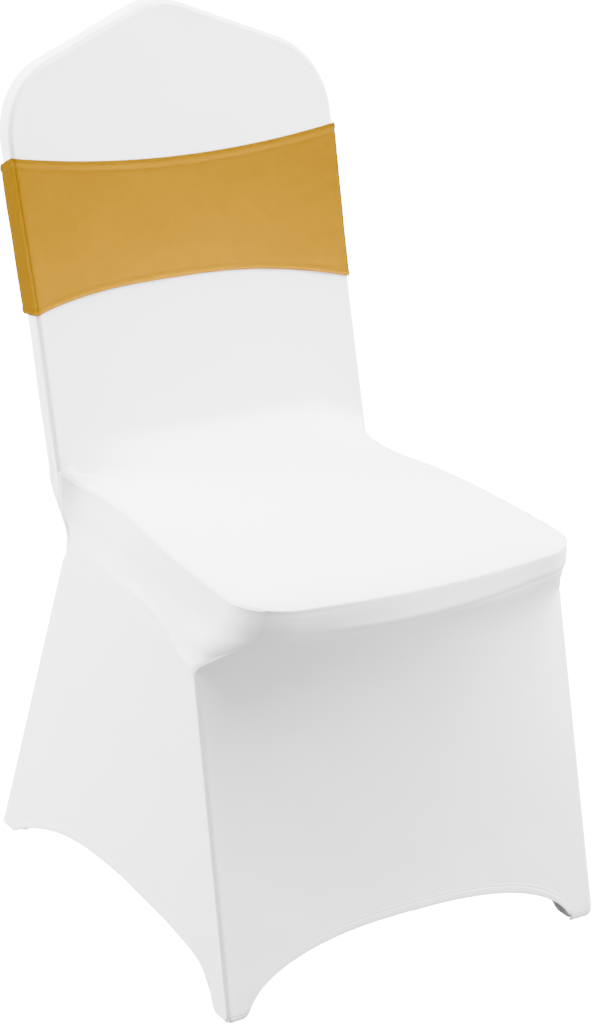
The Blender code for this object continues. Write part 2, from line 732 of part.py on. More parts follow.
def band_plan():
    """Plan of the band round the slab, (x, depth), from the front middle by the right side."""
    half = BACK_HALF + BAND_SIDE_STAND_OFF
    front, rear = -BAND_STAND_OFF, BACK_DEPTH + BAND_STAND_OFF
    radius = BAND_EDGE_RADIUS
    steps = BAND_FACE_STEPS // 2
    flat = half - radius
    right = [Vector((flat * i / steps, front)) for i in range(steps)]
    right += arc((flat, front + radius), radius, -90, 0, BAND_CORNER_STEPS)
    right += arc((flat, rear - radius), radius, 0, 90, BAND_CORNER_STEPS)
    right += [Vector((flat * (1 - i / steps), rear)) for i in range(1, steps + 1)]
    loop = right + [Vector((-p.x, p.y)) for p in right[-2:0:-1]]
    return loop + loop[:1]


def sash_band():
    hem = ((0.0, 0.0), (0.5, 1.0), (1.0, 0.0))  # share of the hem's depth, share of its bulge
    steps = [(share, 0.0, bulge) for share, bulge in hem]
    steps += [(1.0, j / BAND_ROWS, 0.0) for j in range(1, BAND_ROWS + 1)]
    rows = []
    for hem_share, body_share, bulge in steps:
        row = []
        for place in band_plan():
            share = min(max(place.y / BACK_DEPTH, 0.0), 1.0)
            top = band_edge_z(BAND_TOP, BAND_TOP_DROP, place.x, share)
            bottom = band_edge_z(BAND_BOTTOM, BAND_BOTTOM_DROP, place.x, share)
            z = mix(top - BAND_HEM * hem_share, bottom, body_share)
            wider = (slab_half(z) + BAND_SIDE_STAND_OFF) / (BACK_HALF + BAND_SIDE_STAND_OFF)
            away = Vector((place.x * 0.1, place.y - BACK_DEPTH / 2)).normalized()
            away *= BAND_HEM_BULGE * bulge
            row.append(Vector((place.x * wider + away.x, face_y(z) + place.y + away.y, z)))
        rows.append(row)
    return [rows]


# ---- Meshes -------------------------------------------------------------------------------------


def material(name, colour, roughness):
    made = bpy.data.materials.new(name)
    made.use_nodes = True
    shader = made.node_tree.nodes["Principled BSDF"]
    shader.inputs["Base Color"].default_value = colour
    shader.inputs["Roughness"].default_value = roughness
    shader.inputs["Metallic"].default_value = 0.0
    made.diffuse_color = colour
    return made


def cloth(name, grids, thickness, finish, sole=False):
    """One sheet from grids of points, rows from the top down and columns left to right from outside."""
    sheet = bmesh.new()
    for grid in grids:
        rows = [[sheet.verts.new(point) for point in row] for row in grid]
        for upper, lower in zip(rows, rows[1:]):
            for i in range(len(upper) - 1):
                sheet.faces.new((upper[i], lower[i], lower[i + 1], upper[i + 1]))
        if sole:
            sheet.faces.new(rows[-1][:-1][::-1])
    bmesh.ops.remove_doubles(sheet, verts=sheet.verts, dist=WELD)
    mesh = bpy.data.meshes.new(name)
    sheet.to_mesh(mesh)
    sheet.free()
    mesh.shade_smooth()
    mesh.materials.append(finish)
    piece = bpy.data.objects.new(name, mesh)
    bpy.data.collections[COLLECTION].objects.link(piece)
    wall = piece.modifiers.new("thickness", "SOLIDIFY")
    wall.thickness = thickness
    wall.offset = -1.0
    return piece


def mirror_grid(grid):
    """The left-hand copy of a right-hand grid, its columns reversed so that it still faces out."""
    return [mirrored(row)[::-1] for row in grid]


def main():
    for old in list(bpy.data.objects):
        bpy.data.objects.remove(old)
    bpy.context.scene.collection.children.link(bpy.data.collections.new(COLLECTION))
    white = material("white_stretch_knit", WHITE, 0.75)
    pocket_white = material("white_pocket_cloth", WHITE_POCKET, 0.8)
    yellow = material("golden_yellow_stretch_knit", GOLDEN_YELLOW, 0.7)
    cloth("front_panel", front_panel(), COVER_THICKNESS, white)
    cloth("back_panel", back_panel(), COVER_THICKNESS, white)
    side = side_panel()
    cloth("side_panel_right", side, COVER_THICKNESS, white)
    cloth("side_panel_left", [mirror_grid(grid) for grid in side], COVER_THICKNESS, white)
    for place, front in (("front", True), ("rear", False)):
        rings = pocket_rings(front)
        name = f"foot_pocket_{place}"
        cloth(f"{name}_right", [rings], POCKET_THICKNESS, pocket_white, sole=True)
        cloth(f"{name}_left", [mirror_grid(rings)], POCKET_THICKNESS, pocket_white, sole=True)
    cloth("sash_band", sash_band(), BAND_THICKNESS, yellow)


main()
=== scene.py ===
"""Looks of the stretch chair cover and its sash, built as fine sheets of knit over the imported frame."""

import math
from collections import namedtuple

import bmesh
import bpy
import numpy as np
from mathutils import Matrix, Vector


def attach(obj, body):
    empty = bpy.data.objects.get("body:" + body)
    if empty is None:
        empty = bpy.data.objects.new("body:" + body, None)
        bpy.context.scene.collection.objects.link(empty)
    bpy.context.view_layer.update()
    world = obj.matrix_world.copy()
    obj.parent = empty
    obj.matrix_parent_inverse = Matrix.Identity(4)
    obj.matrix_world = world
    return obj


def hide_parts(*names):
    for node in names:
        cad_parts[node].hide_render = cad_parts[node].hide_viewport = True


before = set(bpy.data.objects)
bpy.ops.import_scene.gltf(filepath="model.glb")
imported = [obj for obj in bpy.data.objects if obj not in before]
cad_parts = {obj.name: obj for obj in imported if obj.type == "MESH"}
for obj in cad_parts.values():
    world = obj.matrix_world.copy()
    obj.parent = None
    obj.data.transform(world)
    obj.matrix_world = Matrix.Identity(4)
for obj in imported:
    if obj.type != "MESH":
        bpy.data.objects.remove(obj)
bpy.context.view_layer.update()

bpy.ops.object.select_all(action="DESELECT")

# ---- Sizes of the cover, in metres

COVER_THICKNESS = 0.0013
BAND_THICKNESS = 0.0012
POCKET_THICKNESS = 0.0014
SEAM_OPEN = 0.00005  # half the crack between two panels that are sewn together

LEAN = 0.2681
FRONT_FACE_Y = 0.0187
BACK_DEPTH = 0.031
BACK_HALF = 0.1975
CROWN_HALF = 0.2015
WIDENS = (0.60, 0.20)  # height where the back starts to widen to its crown, and over how much
FRONT_EDGE_RADIUS = 0.005
REAR_EDGE_RADIUS = 0.010
APEX_Z = 0.936
CROWN_SLOPE = 0.385
APEX_RADIUS = 0.080
SHOULDER_RADIUS = 0.088
SLAB_BASE = 0.520

SEAT_FRONT_Z = 0.4387
SEAT_CROWN = 0.018
SEAT_SETBACK = 0.052
CROWN_REACH = 0.030
EDGE_DIP = math.radians(32)
SEAT_REAR_Y = 0.1435
SEAT_REAR_Z = 0.460

LEG_HALF = 0.2314
LEG_HALF_SLOPE = -0.0164
FRONT_LEG_Y = -0.2818
FRONT_LEG_SLOPE = 0.2245
FRONT_LEG_RADIUS = 0.0045
REAR_LEG_HALF = 0.2215
REAR_LEG_HALF_SLOPE = -0.0694
REAR_LEG_Y = 0.2587
REAR_LEG_SLOPE = -0.3159
REAR_LEG_RADIUS = 0.012
SKIRT_TOP = 0.360
FOOT_HEIGHT = 0.016
FOOT_TUCK = 0.012
FOOT_SIDE_TUCK = 0.005
REAR_FOOT_HEIGHT = 0.008
REAR_FOOT_TUCK = 0.004
HEM_LIFT = 0.001

POCKET_RADIUS = 0.0045
POCKET_REAR_RADIUS = 0.008
POCKET_INNER_RADIUS = 0.012

BAND_STAND_OFF = 0.0022
BAND_SIDE_STAND_OFF = 0.0027
BAND_EDGE_RADIUS = 0.0065
BAND_HEM = 0.009

EdgeRow = namedtuple("EdgeRow", "y half z")
SEAT_EDGE = (
    EdgeRow(-0.2165, 0.2000, 0.4390),
    EdgeRow(-0.1700, 0.1990, 0.4413),
    EdgeRow(-0.1250, 0.1970, 0.4435),
    EdgeRow(-0.0750, 0.1930, 0.4460),
    EdgeRow(-0.0130, 0.1860, 0.4480),
    EdgeRow(0.0350, 0.1790, 0.4475),
    EdgeRow(0.0820, 0.1780, 0.4480),
    EdgeRow(0.1200, 0.1835, 0.4500),
    EdgeRow(0.1435, 0.1960, 0.4600),
)

Section = namedtuple(
    "Section",
    "z rear_z corner_x corner_y radius reach slope centre_y rear_half rear_y rear_radius rear_bow edge",
)
SECTIONS = (
    Section(0.4387, 0.460, 0.2000, -0.2795, 0.063, 0.063, 8, -0.2915, 0.1975, 0.1735, 0.012, 0.000, 1.00),
    Section(0.4300, 0.449, 0.2010, -0.2785, 0.062, 0.062, 9, -0.2922, 0.1973, 0.1730, 0.012, 0.001, 0.85),
    Section(0.4180, 0.438, 0.2025, -0.2760, 0.061, 0.061, 10, -0.2930, 0.1970, 0.1695, 0.012, 0.003, 0.65),
    Section(0.4095, 0.428, 0.2035, -0.2725, 0.062, 0.062, 12, -0.2925, 0.1967, 0.1632, 0.012, 0.006, 0.50),
    Section(0.4040, 0.418, 0.2055, -0.2690, 0.063, 0.063, 14, -0.2890, 0.1961, 0.1555, 0.012, 0.009, 0.41),
    Section(0.3985, 0.409, 0.2095, -0.2638, 0.063, 0.064, 17, -0.2855, 0.1958, 0.1480, 0.012, 0.012, 0.31),
    Section(0.3920, 0.399, 0.2145, -0.2550, 0.059, 0.064, 20, -0.2820, 0.1955, 0.1410, 0.012, 0.015, 0.19),
    Section(0.3840, 0.389, 0.2195, -0.2415, 0.048, 0.056, 24, -0.2785, 0.1955, 0.1375, 0.012, 0.018, 0.07),
    Section(0.3740, 0.376, 0.2230, -0.2232, 0.026, 0.037, 28, -0.2750, 0.1956, 0.1388, 0.012, 0.020, 0.01),
    Section(0.3665, 0.367, 0.2256, -0.2088, 0.012, 0.018, 31, -0.2735, 0.1956, 0.1400, 0.012, 0.020, 0.00),
)

BowRow = namedtuple("BowRow", "z front rear")
SKIRT_BOWS = (
    BowRow(0.000, 0.0000, 0.000),
    BowRow(0.060, 0.0015, 0.001),
    BowRow(0.120, 0.0070, 0.004),
    BowRow(0.200, 0.0205, 0.009),
    BowRow(0.280, 0.0400, 0.015),
    BowRow(0.330, 0.0573, 0.019),
    BowRow(0.360, 0.0705, 0.020),
)

HalfArch = namedtuple("HalfArch", "middle end crest sag power root")
FRONT_ARCH = (HalfArch(0.0, -0.207, 0.0665, 0.0, 2.5, 0.5), HalfArch(0.0, 0.201, 0.0660, 0.0, 2.3, 0.5))
REAR_ARCH = (HalfArch(0.0, -0.198, 0.0620, 0.0, 2.5, 0.5), HalfArch(0.0, 0.198, 0.0620, 0.0, 2.5, 0.5))
SIDE_ARCH = (HalfArch(-0.03, -0.2435, 0.0620, 0.25, 12.0, 0.5), HalfArch(-0.03, 0.224, 0.0620, 0.0, 2.4, 1.0))

PocketRow = namedtuple("PocketRow", "z side_inset end_inset width length")
POCKET_ROWS = (
    PocketRow(0.0380, 0.0041, 0.0024, 0.0400, 0.0580),
    PocketRow(0.0120, 0.0060, 0.0058, 0.0300, 0.0450),
    PocketRow(0.0050, 0.0074, 0.0092, 0.0276, 0.0426),
    PocketRow(0.0007, 0.0098, 0.0132, 0.0250, 0.0400),
    PocketRow(0.0000, 0.0110, 0.0147, 0.0235, 0.0385),
)

BandEdge = namedtuple("BandEdge", "middle left right left_power right_power")
BAND_TOP = BandEdge(0.7688, 0.0172, 0.0150, 2.0, 2.0)
BAND_BOTTOM = BandEdge(0.6425, -0.0194, -0.0270, 3.2, 2.0)
BAND_TOP_DROP = 0.013
BAND_BOTTOM_DROP = 0.004

# ---- How finely the sheets are made

FRONT_NEAR = (SEAM_OPEN, 0.0006, 0.0012, 0.0022, 0.0034, 0.0048, 0.0066, 0.0086, 0.0108)
REAR_NEAR = (
    SEAM_OPEN, 0.0006, 0.0012, 0.0022, 0.0039, 0.0066, 0.0100, 0.0135, 0.0165,
    0.0199, 0.0225, 0.0251, 0.0277, 0.0303, 0.0330, 0.0356, 0.0390, 0.0425,
)
FRONT_HALF_COLUMNS = 54
REAR_HALF_COLUMNS = 58
SIDE_STEPS = 110
SIDE_GRADING = 0.35
COLUMN_GRADING = 1.15
CROWN_SIDE_ROWS = 60
SKIRT_ROWS = 74
HEM_ROWS = (
    0.0340, 0.0290, 0.0245, 0.0205, 0.0172, 0.0145, 0.0125, 0.0110, 0.0100, 0.0094, 0.0089, 0.0084,
    0.0077, 0.0066, 0.0052, 0.0038, 0.0025, 0.0014, 0.0006, 0.0,
)
FRONT_CURVE_STEPS = 60
CORNER_STEPS = 10  # on each side of the front seam
SIDE_CURVE_STEPS = 120
REAR_CORNER_STEPS = 16
REAR_CURVE_STEPS = 40
SLAB_SIDE_STEPS = 60
SHOULDER_STEPS = 48
SHOULDER_SIDE_STEPS = 28  # those of the shoulder that belong to the side
APEX_STEPS = 30
CROWN_SIDE_GRADING = 1.2
SLOPE_REACH = 0.002  # how far ahead and behind the crown's slope is taken
HEM_ROUNDS = 3  # for finding where each column meets the hem
FAR = 1.0  # distance given where a seam or hem plays no part
FADED = 0.02  # distance added to a seam where it sinks into the cloth


def mix(a, b, share):
    return a + (b - a) * share


def weigh(a, b, share):
    return a * (1 - share) + b * share


def ease(share):
    share = np.clip(share, 0.0, 1.0)
    return share * share * (3 - 2 * share)


def rising(value, start, over):
    return ease((value - start) / over)


def falling(value, start, over):
    return ease((start - value) / over)


def smooth(places, values, at):
    """Values at places on a smooth curve through rows that rise in place."""
    places, values = np.asarray(places, float), np.asarray(values, float)
    at = np.clip(np.asarray(at, float), places[0], places[-1])
    index = np.clip(np.searchsorted(places, at, side="right") - 1, 0, len(places) - 2)
    ends = np.arange(len(places))
    low, high = np.maximum(ends - 1, 0), np.minimum(ends + 1, len(places) - 1)
    slopes = (values[high] - values[low]) / (places[high] - places[low])
    width = places[index + 1] - places[index]
    t = (at - places[index]) / width
    return (
        values[index] * (1 + 2 * t) * (1 - t) ** 2
        + values[index + 1] * t * t * (3 - 2 * t)
        + slopes[index] * width * t * (1 - t) ** 2
        - slopes[index + 1] * width * t * t * (1 - t)
    )


def read(rows, name, at):
    """A column of a table, smooth between its rows; the first column is their place."""
    return smooth([row[0] for row in rows], [getattr(row, name) for row in rows], at)


def edge_z(y):
    return read(SEAT_EDGE, "z", y)


def arch_height(arch, at):
    def half_height(half):
        share = np.minimum(np.abs((at - half.middle) / (half.end - half.middle)), 1.0)
        return half.crest * (1 - half.sag * share**2) * (1 - share**half.power) ** half.root

    heights = np.where(at < arch[0].middle, half_height(arch[0]), half_height(arch[1]))
    return np.maximum(heights, HEM_LIFT)


def arc(centre, radius, start, end, steps):
    angles = np.radians(np.linspace(start, end, steps + 1))
    return np.stack([centre[0] + radius * np.cos(angles), centre[1] + radius * np.sin(angles)], 1)


def lengths(path):
    steps = np.linalg.norm(np.diff(path, axis=0), axis=1)
    return np.concatenate([[0.0], np.cumsum(steps)])


def walk(path, total, distances):
    return np.stack([np.interp(distances, total, path[:, k]) for k in range(path.shape[1])], -1)


def spread(length, near, count):
    """Distances from a seam to the middle, close together beside the seam."""
    steps = count - len(near)
    shares = (np.arange(1, steps + 1) / steps) ** COLUMN_GRADING
    return np.concatenate([near, mix(near[-1], length, shares)])


def side_spread(length):
    near = np.array(FRONT_NEAR)
    steps = SIDE_STEPS - 2 * len(near) + 1
    shares = np.arange(1, steps) / steps
    shares = mix(shares, (1 - np.cos(np.pi * shares)) / 2, SIDE_GRADING)
    middle = mix(near[-1], length - near[-1], shares)
    return np.concatenate([near, middle, (length - near)[::-1]])


# ---- Sections of the cover


def turn_in(z, height):
    return 1 - math.sqrt(1 - max(0.0, 1 - z / height) ** 2)


def front_leg(z):
    """Where the cloth's corner stands at the front leg, x and y."""
    return LEG_HALF + LEG_HALF_SLOPE * z, FRONT_LEG_Y + FRONT_LEG_SLOPE * z


def rear_leg(z):
    return REAR_LEG_HALF + REAR_LEG_HALF_SLOPE * z, REAR_LEG_Y + REAR_LEG_SLOPE * z


def skirt_section(z):
    tuck, rear_tuck = turn_in(z, FOOT_HEIGHT), turn_in(z, REAR_FOOT_HEIGHT)
    (corner_x, corner_y), (rear_half, rear_y) = front_leg(z), rear_leg(z)
    corner_x, corner_y = corner_x - FOOT_SIDE_TUCK * tuck, corner_y + FOOT_TUCK * tuck
    bow = float(read(SKIRT_BOWS, "front", z))
    return Section(
        z=z,
        rear_z=z,
        corner_x=corner_x,
        corner_y=corner_y,
        radius=FRONT_LEG_RADIUS,
        reach=FRONT_LEG_RADIUS,
        slope=math.degrees(math.atan(2 * bow / corner_x)),
        centre_y=corner_y - bow,
        rear_half=rear_half,
        rear_y=rear_y - REAR_FOOT_TUCK * rear_tuck,
        rear_radius=REAR_LEG_RADIUS,
        rear_bow=float(read(SKIRT_BOWS, "rear", z)),
        edge=0.0,
    )


SECTION_ROWS = [skirt_section(SKIRT_BOWS[-2].z), skirt_section(SKIRT_TOP)] + list(SECTIONS[::-1])


def section_at(z):
    """Section at any height, smooth through the rows under the seat's edge."""
    if z <= SKIRT_TOP:
        return skirt_section(z)
    return Section(*[float(read(SECTION_ROWS, name, z)) for name in Section._fields])


def side_half(section, y, y_front, y_rear):
    share = (y - y_front) / (y_rear - y_front)
    straight = mix(section.corner_x, section.rear_half, share)
    wider = mix(section.corner_x - SECTIONS[0].corner_x, section.rear_half - SECTIONS[0].rear_half, share)
    return mix(straight, read(SEAT_EDGE, "half", y) + wider, section.edge)


FRONT_MIDDLE_PULL = 0.4  # how far the front curve runs flat at its middle, as a share of its half width
FRONT_CORNER_PULL = 0.35  # and along the corner's own slope at its end


def outline(section):
    """Right half of a section, front middle to rear middle, with where its two seams are."""
    y_front, y_rear = section.corner_y + section.reach, section.rear_y - section.rear_radius
    stretch = section.reach / section.radius
    first_angle = math.degrees(math.atan(math.tan(math.radians(section.slope)) / stretch)) - 90
    around = (section.corner_x - section.radius, 0)
    corner = np.vstack([
        arc(around, section.radius, first_angle, -45, CORNER_STEPS),
        arc(around, section.radius, -45, 0, CORNER_STEPS)[1:],
    ])
    corner[:, 1] = y_front + corner[:, 1] * stretch
    end, slope = corner[0], math.radians(section.slope)
    points = (
        np.array([0.0, section.centre_y]),
        np.array([end[0] * FRONT_MIDDLE_PULL, section.centre_y]),
        end - np.array([math.cos(slope), math.sin(slope)]) * end[0] * FRONT_CORNER_PULL,
        end,
    )
    t = np.linspace(0, 1, FRONT_CURVE_STEPS + 1)[:-1, None]
    weights = ((1 - t) ** 3, 3 * t * (1 - t) ** 2, 3 * t * t * (1 - t), t**3)
    front = np.vstack([sum(p * w for p, w in zip(points, weights)), corner])
    y = np.linspace(y_front, y_rear, SIDE_CURVE_STEPS + 1)[1:-1]
    side = np.stack([side_half(section, y, y_front, y_rear), y], 1)
    rear_x = section.rear_half - section.rear_radius
    rear_corner = arc((rear_x, y_rear), section.rear_radius, 0, 90, REAR_CORNER_STEPS)
    share = np.linspace(1, 0, REAR_CURVE_STEPS + 1)[1:]
    behind = np.stack([rear_x * share, section.rear_y + section.rear_bow * (1 - share**2)], 1)
    rise = (edge_z(y) - SEAT_FRONT_Z) / (SEAT_REAR_Z - SEAT_FRONT_Z)
    heights = np.concatenate([
        np.full(len(front), section.z),
        mix(section.z, section.rear_z, rise),
        np.full(len(rear_corner) + len(behind), section.rear_z),
    ])
    path = np.column_stack([np.vstack([front, side, rear_corner, behind]), heights])
    total = lengths(path)
    half_turn = REAR_CORNER_STEPS // 2
    seam_y = rear_corner[half_turn][1]
    if section.edge > 0:
        seam_y = min(SEAT_REAR_Y, seam_y)
    first, last = len(front), len(front) + len(side) + half_turn + 1
    rear_seam = float(np.interp(seam_y, path[first:last, 1], total[first:last]))
    return path, total, total[FRONT_CURVE_STEPS + CORNER_STEPS], rear_seam


def front_half(section):
    """Points from the front seam to the middle, and their distances."""
    path, total, seam, _ = outline(section)
    distances = spread(seam, FRONT_NEAR, FRONT_HALF_COLUMNS)
    return walk(path, total, seam - distances), distances


def rear_half(section):
    path, total, _, seam = outline(section)
    distances = spread(total[-1] - seam, REAR_NEAR, REAR_HALF_COLUMNS)
    return walk(path, total, seam + distances), distances


def side_run(section):
    path, total, front_seam, rear_seam = outline(section)
    distances = side_spread(rear_seam - front_seam)
    return walk(path, total, front_seam + distances), distances


MIRROR = np.array([-1.0, 1.0, 1.0])


def across(half):
    """Whole row from its right half, which runs from the seam to the middle."""
    return np.concatenate([half * MIRROR, half[:-1][::-1]])


# ---- Grids of points with their cloth coordinates


class Grid:
    """Rows of points with, at each one, its place on the cloth and its distances to seam and hem."""

    def __init__(self, points, u, v, seam, hem=FAR, edge=FAR):
        self.points = np.asarray(points, float)
        shape = self.points.shape[:2]
        self.u, self.v, self.seam, self.hem, self.edge = (
            np.broadcast_to(np.asarray(value, float), shape) for value in (u, v, seam, hem, edge)
        )

    def turned(self, points, u):
        """The same rows from their other end."""
        return Grid(*(a[:, ::-1] for a in (points, u, self.v, self.seam, self.hem, self.edge)))

    def reversed(self):
        return self.turned(self.points, self.u)

    def mirrored(self):
        return self.turned(self.points * MIRROR, -self.u)


FEET_TOP = 0.03
LEVELS_TOP = 0.45
FEET_LEVELS = 30
LEG_LEVELS = 168
HEM_SEARCH_Z = 0.034  # height at which the search for the hem starts


def skirt_levels():
    """Heights from the floor to the skirt's top, closer where the feet turn in."""
    low = np.linspace(0.0, FEET_TOP, FEET_LEVELS + 1)
    levels = np.concatenate([low, np.linspace(FEET_TOP, LEVELS_TOP, LEG_LEVELS + 1)[1:]])
    return levels[levels <= SKIRT_TOP + 1e-9]


def between(levels, z):
    """Index of the level under each height, and the height's share of the way to the next one."""
    index = np.clip(np.searchsorted(levels, z) - 1, 0, len(levels) - 2)
    return index, (z - levels[index]) / (levels[index + 1] - levels[index])


def skirt_rows(run, arch, along):
    """Rows from under the skirt's top down to its hem, with each point's distance above the hem."""
    levels = skirt_levels()
    table = np.array([run(section_at(z)) for z in levels])
    columns = np.arange(table.shape[1])
    hems = arch_height(arch, run(section_at(HEM_SEARCH_Z))[:, along])
    for _ in range(HEM_ROUNDS):
        index, share = between(levels, np.clip(hems, 0, SKIRT_TOP))
        at = mix(table[index, columns, along], table[index + 1, columns, along], share)
        hems = arch_height(arch, at)
    steps = [(1 - (j / SKIRT_ROWS), HEM_ROWS[0]) for j in range(1, SKIRT_ROWS)]
    steps += [(0.0, offset) for offset in HEM_ROWS]
    rows, above = [], []
    for share, offset in steps:
        z = mix(hems + offset, SKIRT_TOP, share)
        index, part = between(levels, z)
        rows.append(weigh(table[index, columns], table[index + 1, columns], part[:, None]))
        above.append(z - hems)
    return rows, above


def rows_down(rows):
    """Cloth length down each column from the first row."""
    steps = np.linalg.norm(np.diff(np.array(rows), axis=0), axis=2)
    return np.concatenate([np.zeros((1, steps.shape[1])), np.cumsum(steps, axis=0)])


def rows_across(points):
    """Cloth length along each row from its first column."""
    steps = np.linalg.norm(np.diff(points, axis=1), axis=2)
    return np.concatenate([np.zeros((len(points), 1)), np.cumsum(steps, axis=1)], axis=1)


def from_sides(along):
    return np.minimum(along, along[:, -1:] - along)


def hem_marks(points, above):
    """Distances above the hem, for a panel whose last rows are those of the skirt."""
    hem = np.full(points.shape[:2], FAR)
    hem[-len(above) :] = np.array(above)
    return hem


def cloth_places(points):
    """Each point's place across and down a panel of cloth, and how far it lies along its row."""
    along = rows_across(points)
    v = -np.repeat(rows_down(points)[:, points.shape[1] // 2][:, None], points.shape[1], 1)
    return along - along[:, -1:] / 2, v, along


# ---- Slab of the back


def face_y(z):
    return FRONT_FACE_Y + LEAN * z


def leant(points, z):
    """Points moved along the back's lean to another height."""
    return points + np.array([0, LEAN, 1]) * (z - points[:, 2:])


def slab_half(z):
    return mix(BACK_HALF, CROWN_HALF, rising(z, *WIDENS))


def crown_path():
    angle = math.atan(CROWN_SLOPE)
    shoulder_z = APEX_Z - CROWN_SLOPE * CROWN_HALF
    reach = SHOULDER_RADIUS * math.tan((math.pi / 2 - angle) / 2)
    centre = (CROWN_HALF - SHOULDER_RADIUS, shoulder_z - reach)
    top = APEX_Z - APEX_RADIUS * (1 / math.cos(angle))
    z = np.linspace(SLAB_BASE, centre[1], SLAB_SIDE_STEPS + 1)[:-1]
    side = np.stack([slab_half(z), z], 1)
    shoulder = arc(centre, SHOULDER_RADIUS, 0, 90 - math.degrees(angle), SHOULDER_STEPS)
    apex = arc((0, top), APEX_RADIUS, 90 - math.degrees(angle), 90, APEX_STEPS)
    path = np.vstack([side, shoulder, apex])
    return path, lengths(path), SLAB_SIDE_STEPS + SHOULDER_SIDE_STEPS


def crown_rings(insets, columns):
    """Rings inside the crown's outline; insets are (inset, depth) pairs."""
    path, total, middle = crown_path()
    rise, over = total[middle], total[-1] - total[middle]
    steps = np.arange(CROWN_SIDE_ROWS) / CROWN_SIDE_ROWS
    side = rise * (1 - (1 - steps) ** CROWN_SIDE_GRADING)
    top = rise + over * (np.arange(columns + 1) / columns)
    distances = np.concatenate([side, top])
    points = walk(path, total, distances)
    ahead = walk(path, total, distances + SLOPE_REACH) - walk(path, total, distances - SLOPE_REACH)
    ahead[0], ahead[-1] = (0, 1), (-1, 0)
    ahead /= np.linalg.norm(ahead, axis=1)[:, None]
    inward = np.stack([-ahead[:, 1], ahead[:, 0]], 1)
    rings = []
    for inset, depth in insets:
        plan = points + inward * inset
        plan[-1, 0] = 0.0
        half = np.stack([plan[:, 0], face_y(plan[:, 1]) + depth, plan[:, 1]], 1)
        rings.append(across(half))
    return rings


def coons(top, bottom, left, right):
    v = np.linspace(0, 1, len(left))[:, None, None]
    u = np.linspace(0, 1, len(top))[None, :, None]
    ruled = top[None] * (1 - v) + bottom[None] * v + left[:, None] * (1 - u) + right[:, None] * u
    corners = (top[0] * (1 - u) + top[-1] * u) * (1 - v) + (bottom[0] * (1 - u) + bottom[-1] * u) * v
    return ruled - corners


def slab_v(z):
    return (z - SLAB_BASE) * math.hypot(1, LEAN)


def crown_grids(insets, near, count):
    """Border strip and inner patch of one face of the slab, and its base row."""
    columns = count - len(near)
    rings = crown_rings(insets, columns)
    inner = rings[-1]
    rows, steps = CROWN_SIDE_ROWS, 2 * columns
    left, top, right = inner[: rows + 1][::-1], inner[rows : rows + steps + 1], inner[rows + steps :]
    depth = insets[-1][1]
    share = (np.arange(1, columns + 1) / columns) ** COLUMN_GRADING
    half = np.concatenate([[1.0], 1 - share]) * right[-1][0]
    x = np.concatenate([-half, half[:-1][::-1]])
    base = np.stack([x, np.full(len(x), face_y(SLAB_BASE) + depth), np.full(len(x), SLAB_BASE)], 1)
    patch = coons(top, base, left, right)
    patch[1:-1, 1:-1, 1] = face_y(patch[1:-1, 1:-1, 2]) + depth
    strip = np.array(rings)
    reach = np.array(near)[:, None]
    outer = Grid(strip, strip[:, :, 0], slab_v(strip[:, :, 2]), reach)
    inset = np.abs(patch - patch[:, :1]).max(axis=2)
    far = np.minimum(np.linalg.norm(patch - top[None], axis=2), np.minimum(inset, inset[:, ::-1]))
    inside = Grid(patch, patch[:, :, 0], slab_v(patch[:, :, 2]), near[-1] + far)
    base_row = np.vstack([strip[:-1, 0], base, strip[:-1, -1][::-1]])
    return [outer, inside], base_row


# ---- Panels


def edge_turn(radius, angle):
    """(inset, depth) on a rounded edge."""
    return radius - radius * math.sin(angle), radius - radius * math.cos(angle)


def front_insets():
    """(inset, depth) on the slab's front edge at each distance from the seam."""
    radius = FRONT_EDGE_RADIUS
    turn = radius * math.pi / 4
    pairs = []
    for distance in FRONT_NEAR:
        inset, depth = edge_turn(radius, math.pi / 4 - min(distance, turn) / radius)
        pairs.append((inset + max(distance - turn, 0.0), depth))
    return pairs


def rear_insets():
    """The same from the seam round the thin side and the rear edge."""
    radius, rear = FRONT_EDGE_RADIUS, REAR_EDGE_RADIUS
    turn, flat = radius * math.pi / 4, BACK_DEPTH - FRONT_EDGE_RADIUS - REAR_EDGE_RADIUS
    pairs = []
    for distance in REAR_NEAR:
        if distance < turn:
            pairs.append(edge_turn(radius, math.pi / 4 + distance / radius))
        elif distance < turn + flat:
            pairs.append((0.0, radius + distance - turn))
        else:
            angle = min((distance - turn - flat) / rear, math.pi / 2)
            beyond = max(distance - turn - flat - rear * math.pi / 2, 0.0)
            inset = rear - rear * math.cos(angle) + beyond
            pairs.append((inset, BACK_DEPTH - rear + rear * math.sin(angle)))
    return pairs


def drop_from_edge(points, distance):
    """Points of the seat's edge moved out and down across the edge's own slope."""
    corner = SECTIONS[0]
    centre_x, centre_y = corner.corner_x - corner.radius, corner.corner_y + corner.radius
    points = np.atleast_2d(points)
    x, y = points[:, 0], points[:, 1]
    sign = np.where(x < 0, -1.0, 1.0)
    out = np.stack([x - sign * centre_x, y - centre_y], 1)
    out /= np.maximum(np.linalg.norm(out, axis=1), 1e-9)[:, None]
    out = np.where((y > centre_y)[:, None], np.stack([sign, 0 * sign], 1), out)
    ahead = (y <= centre_y) & (np.abs(x) <= centre_x)
    out = np.where(ahead[:, None], np.array([0.0, -1.0]), out)
    move = np.column_stack([out * math.cos(EDGE_DIP), np.full(len(points), -math.sin(EDGE_DIP))])
    return points + move * np.reshape(distance, (-1, 1))


LEVEL_REAR_Y = 0.09  # behind this line the seat's middle keeps its level
LEVEL_SIDE_OVER = 0.03
LEVEL_FRONT_OVER = 0.05


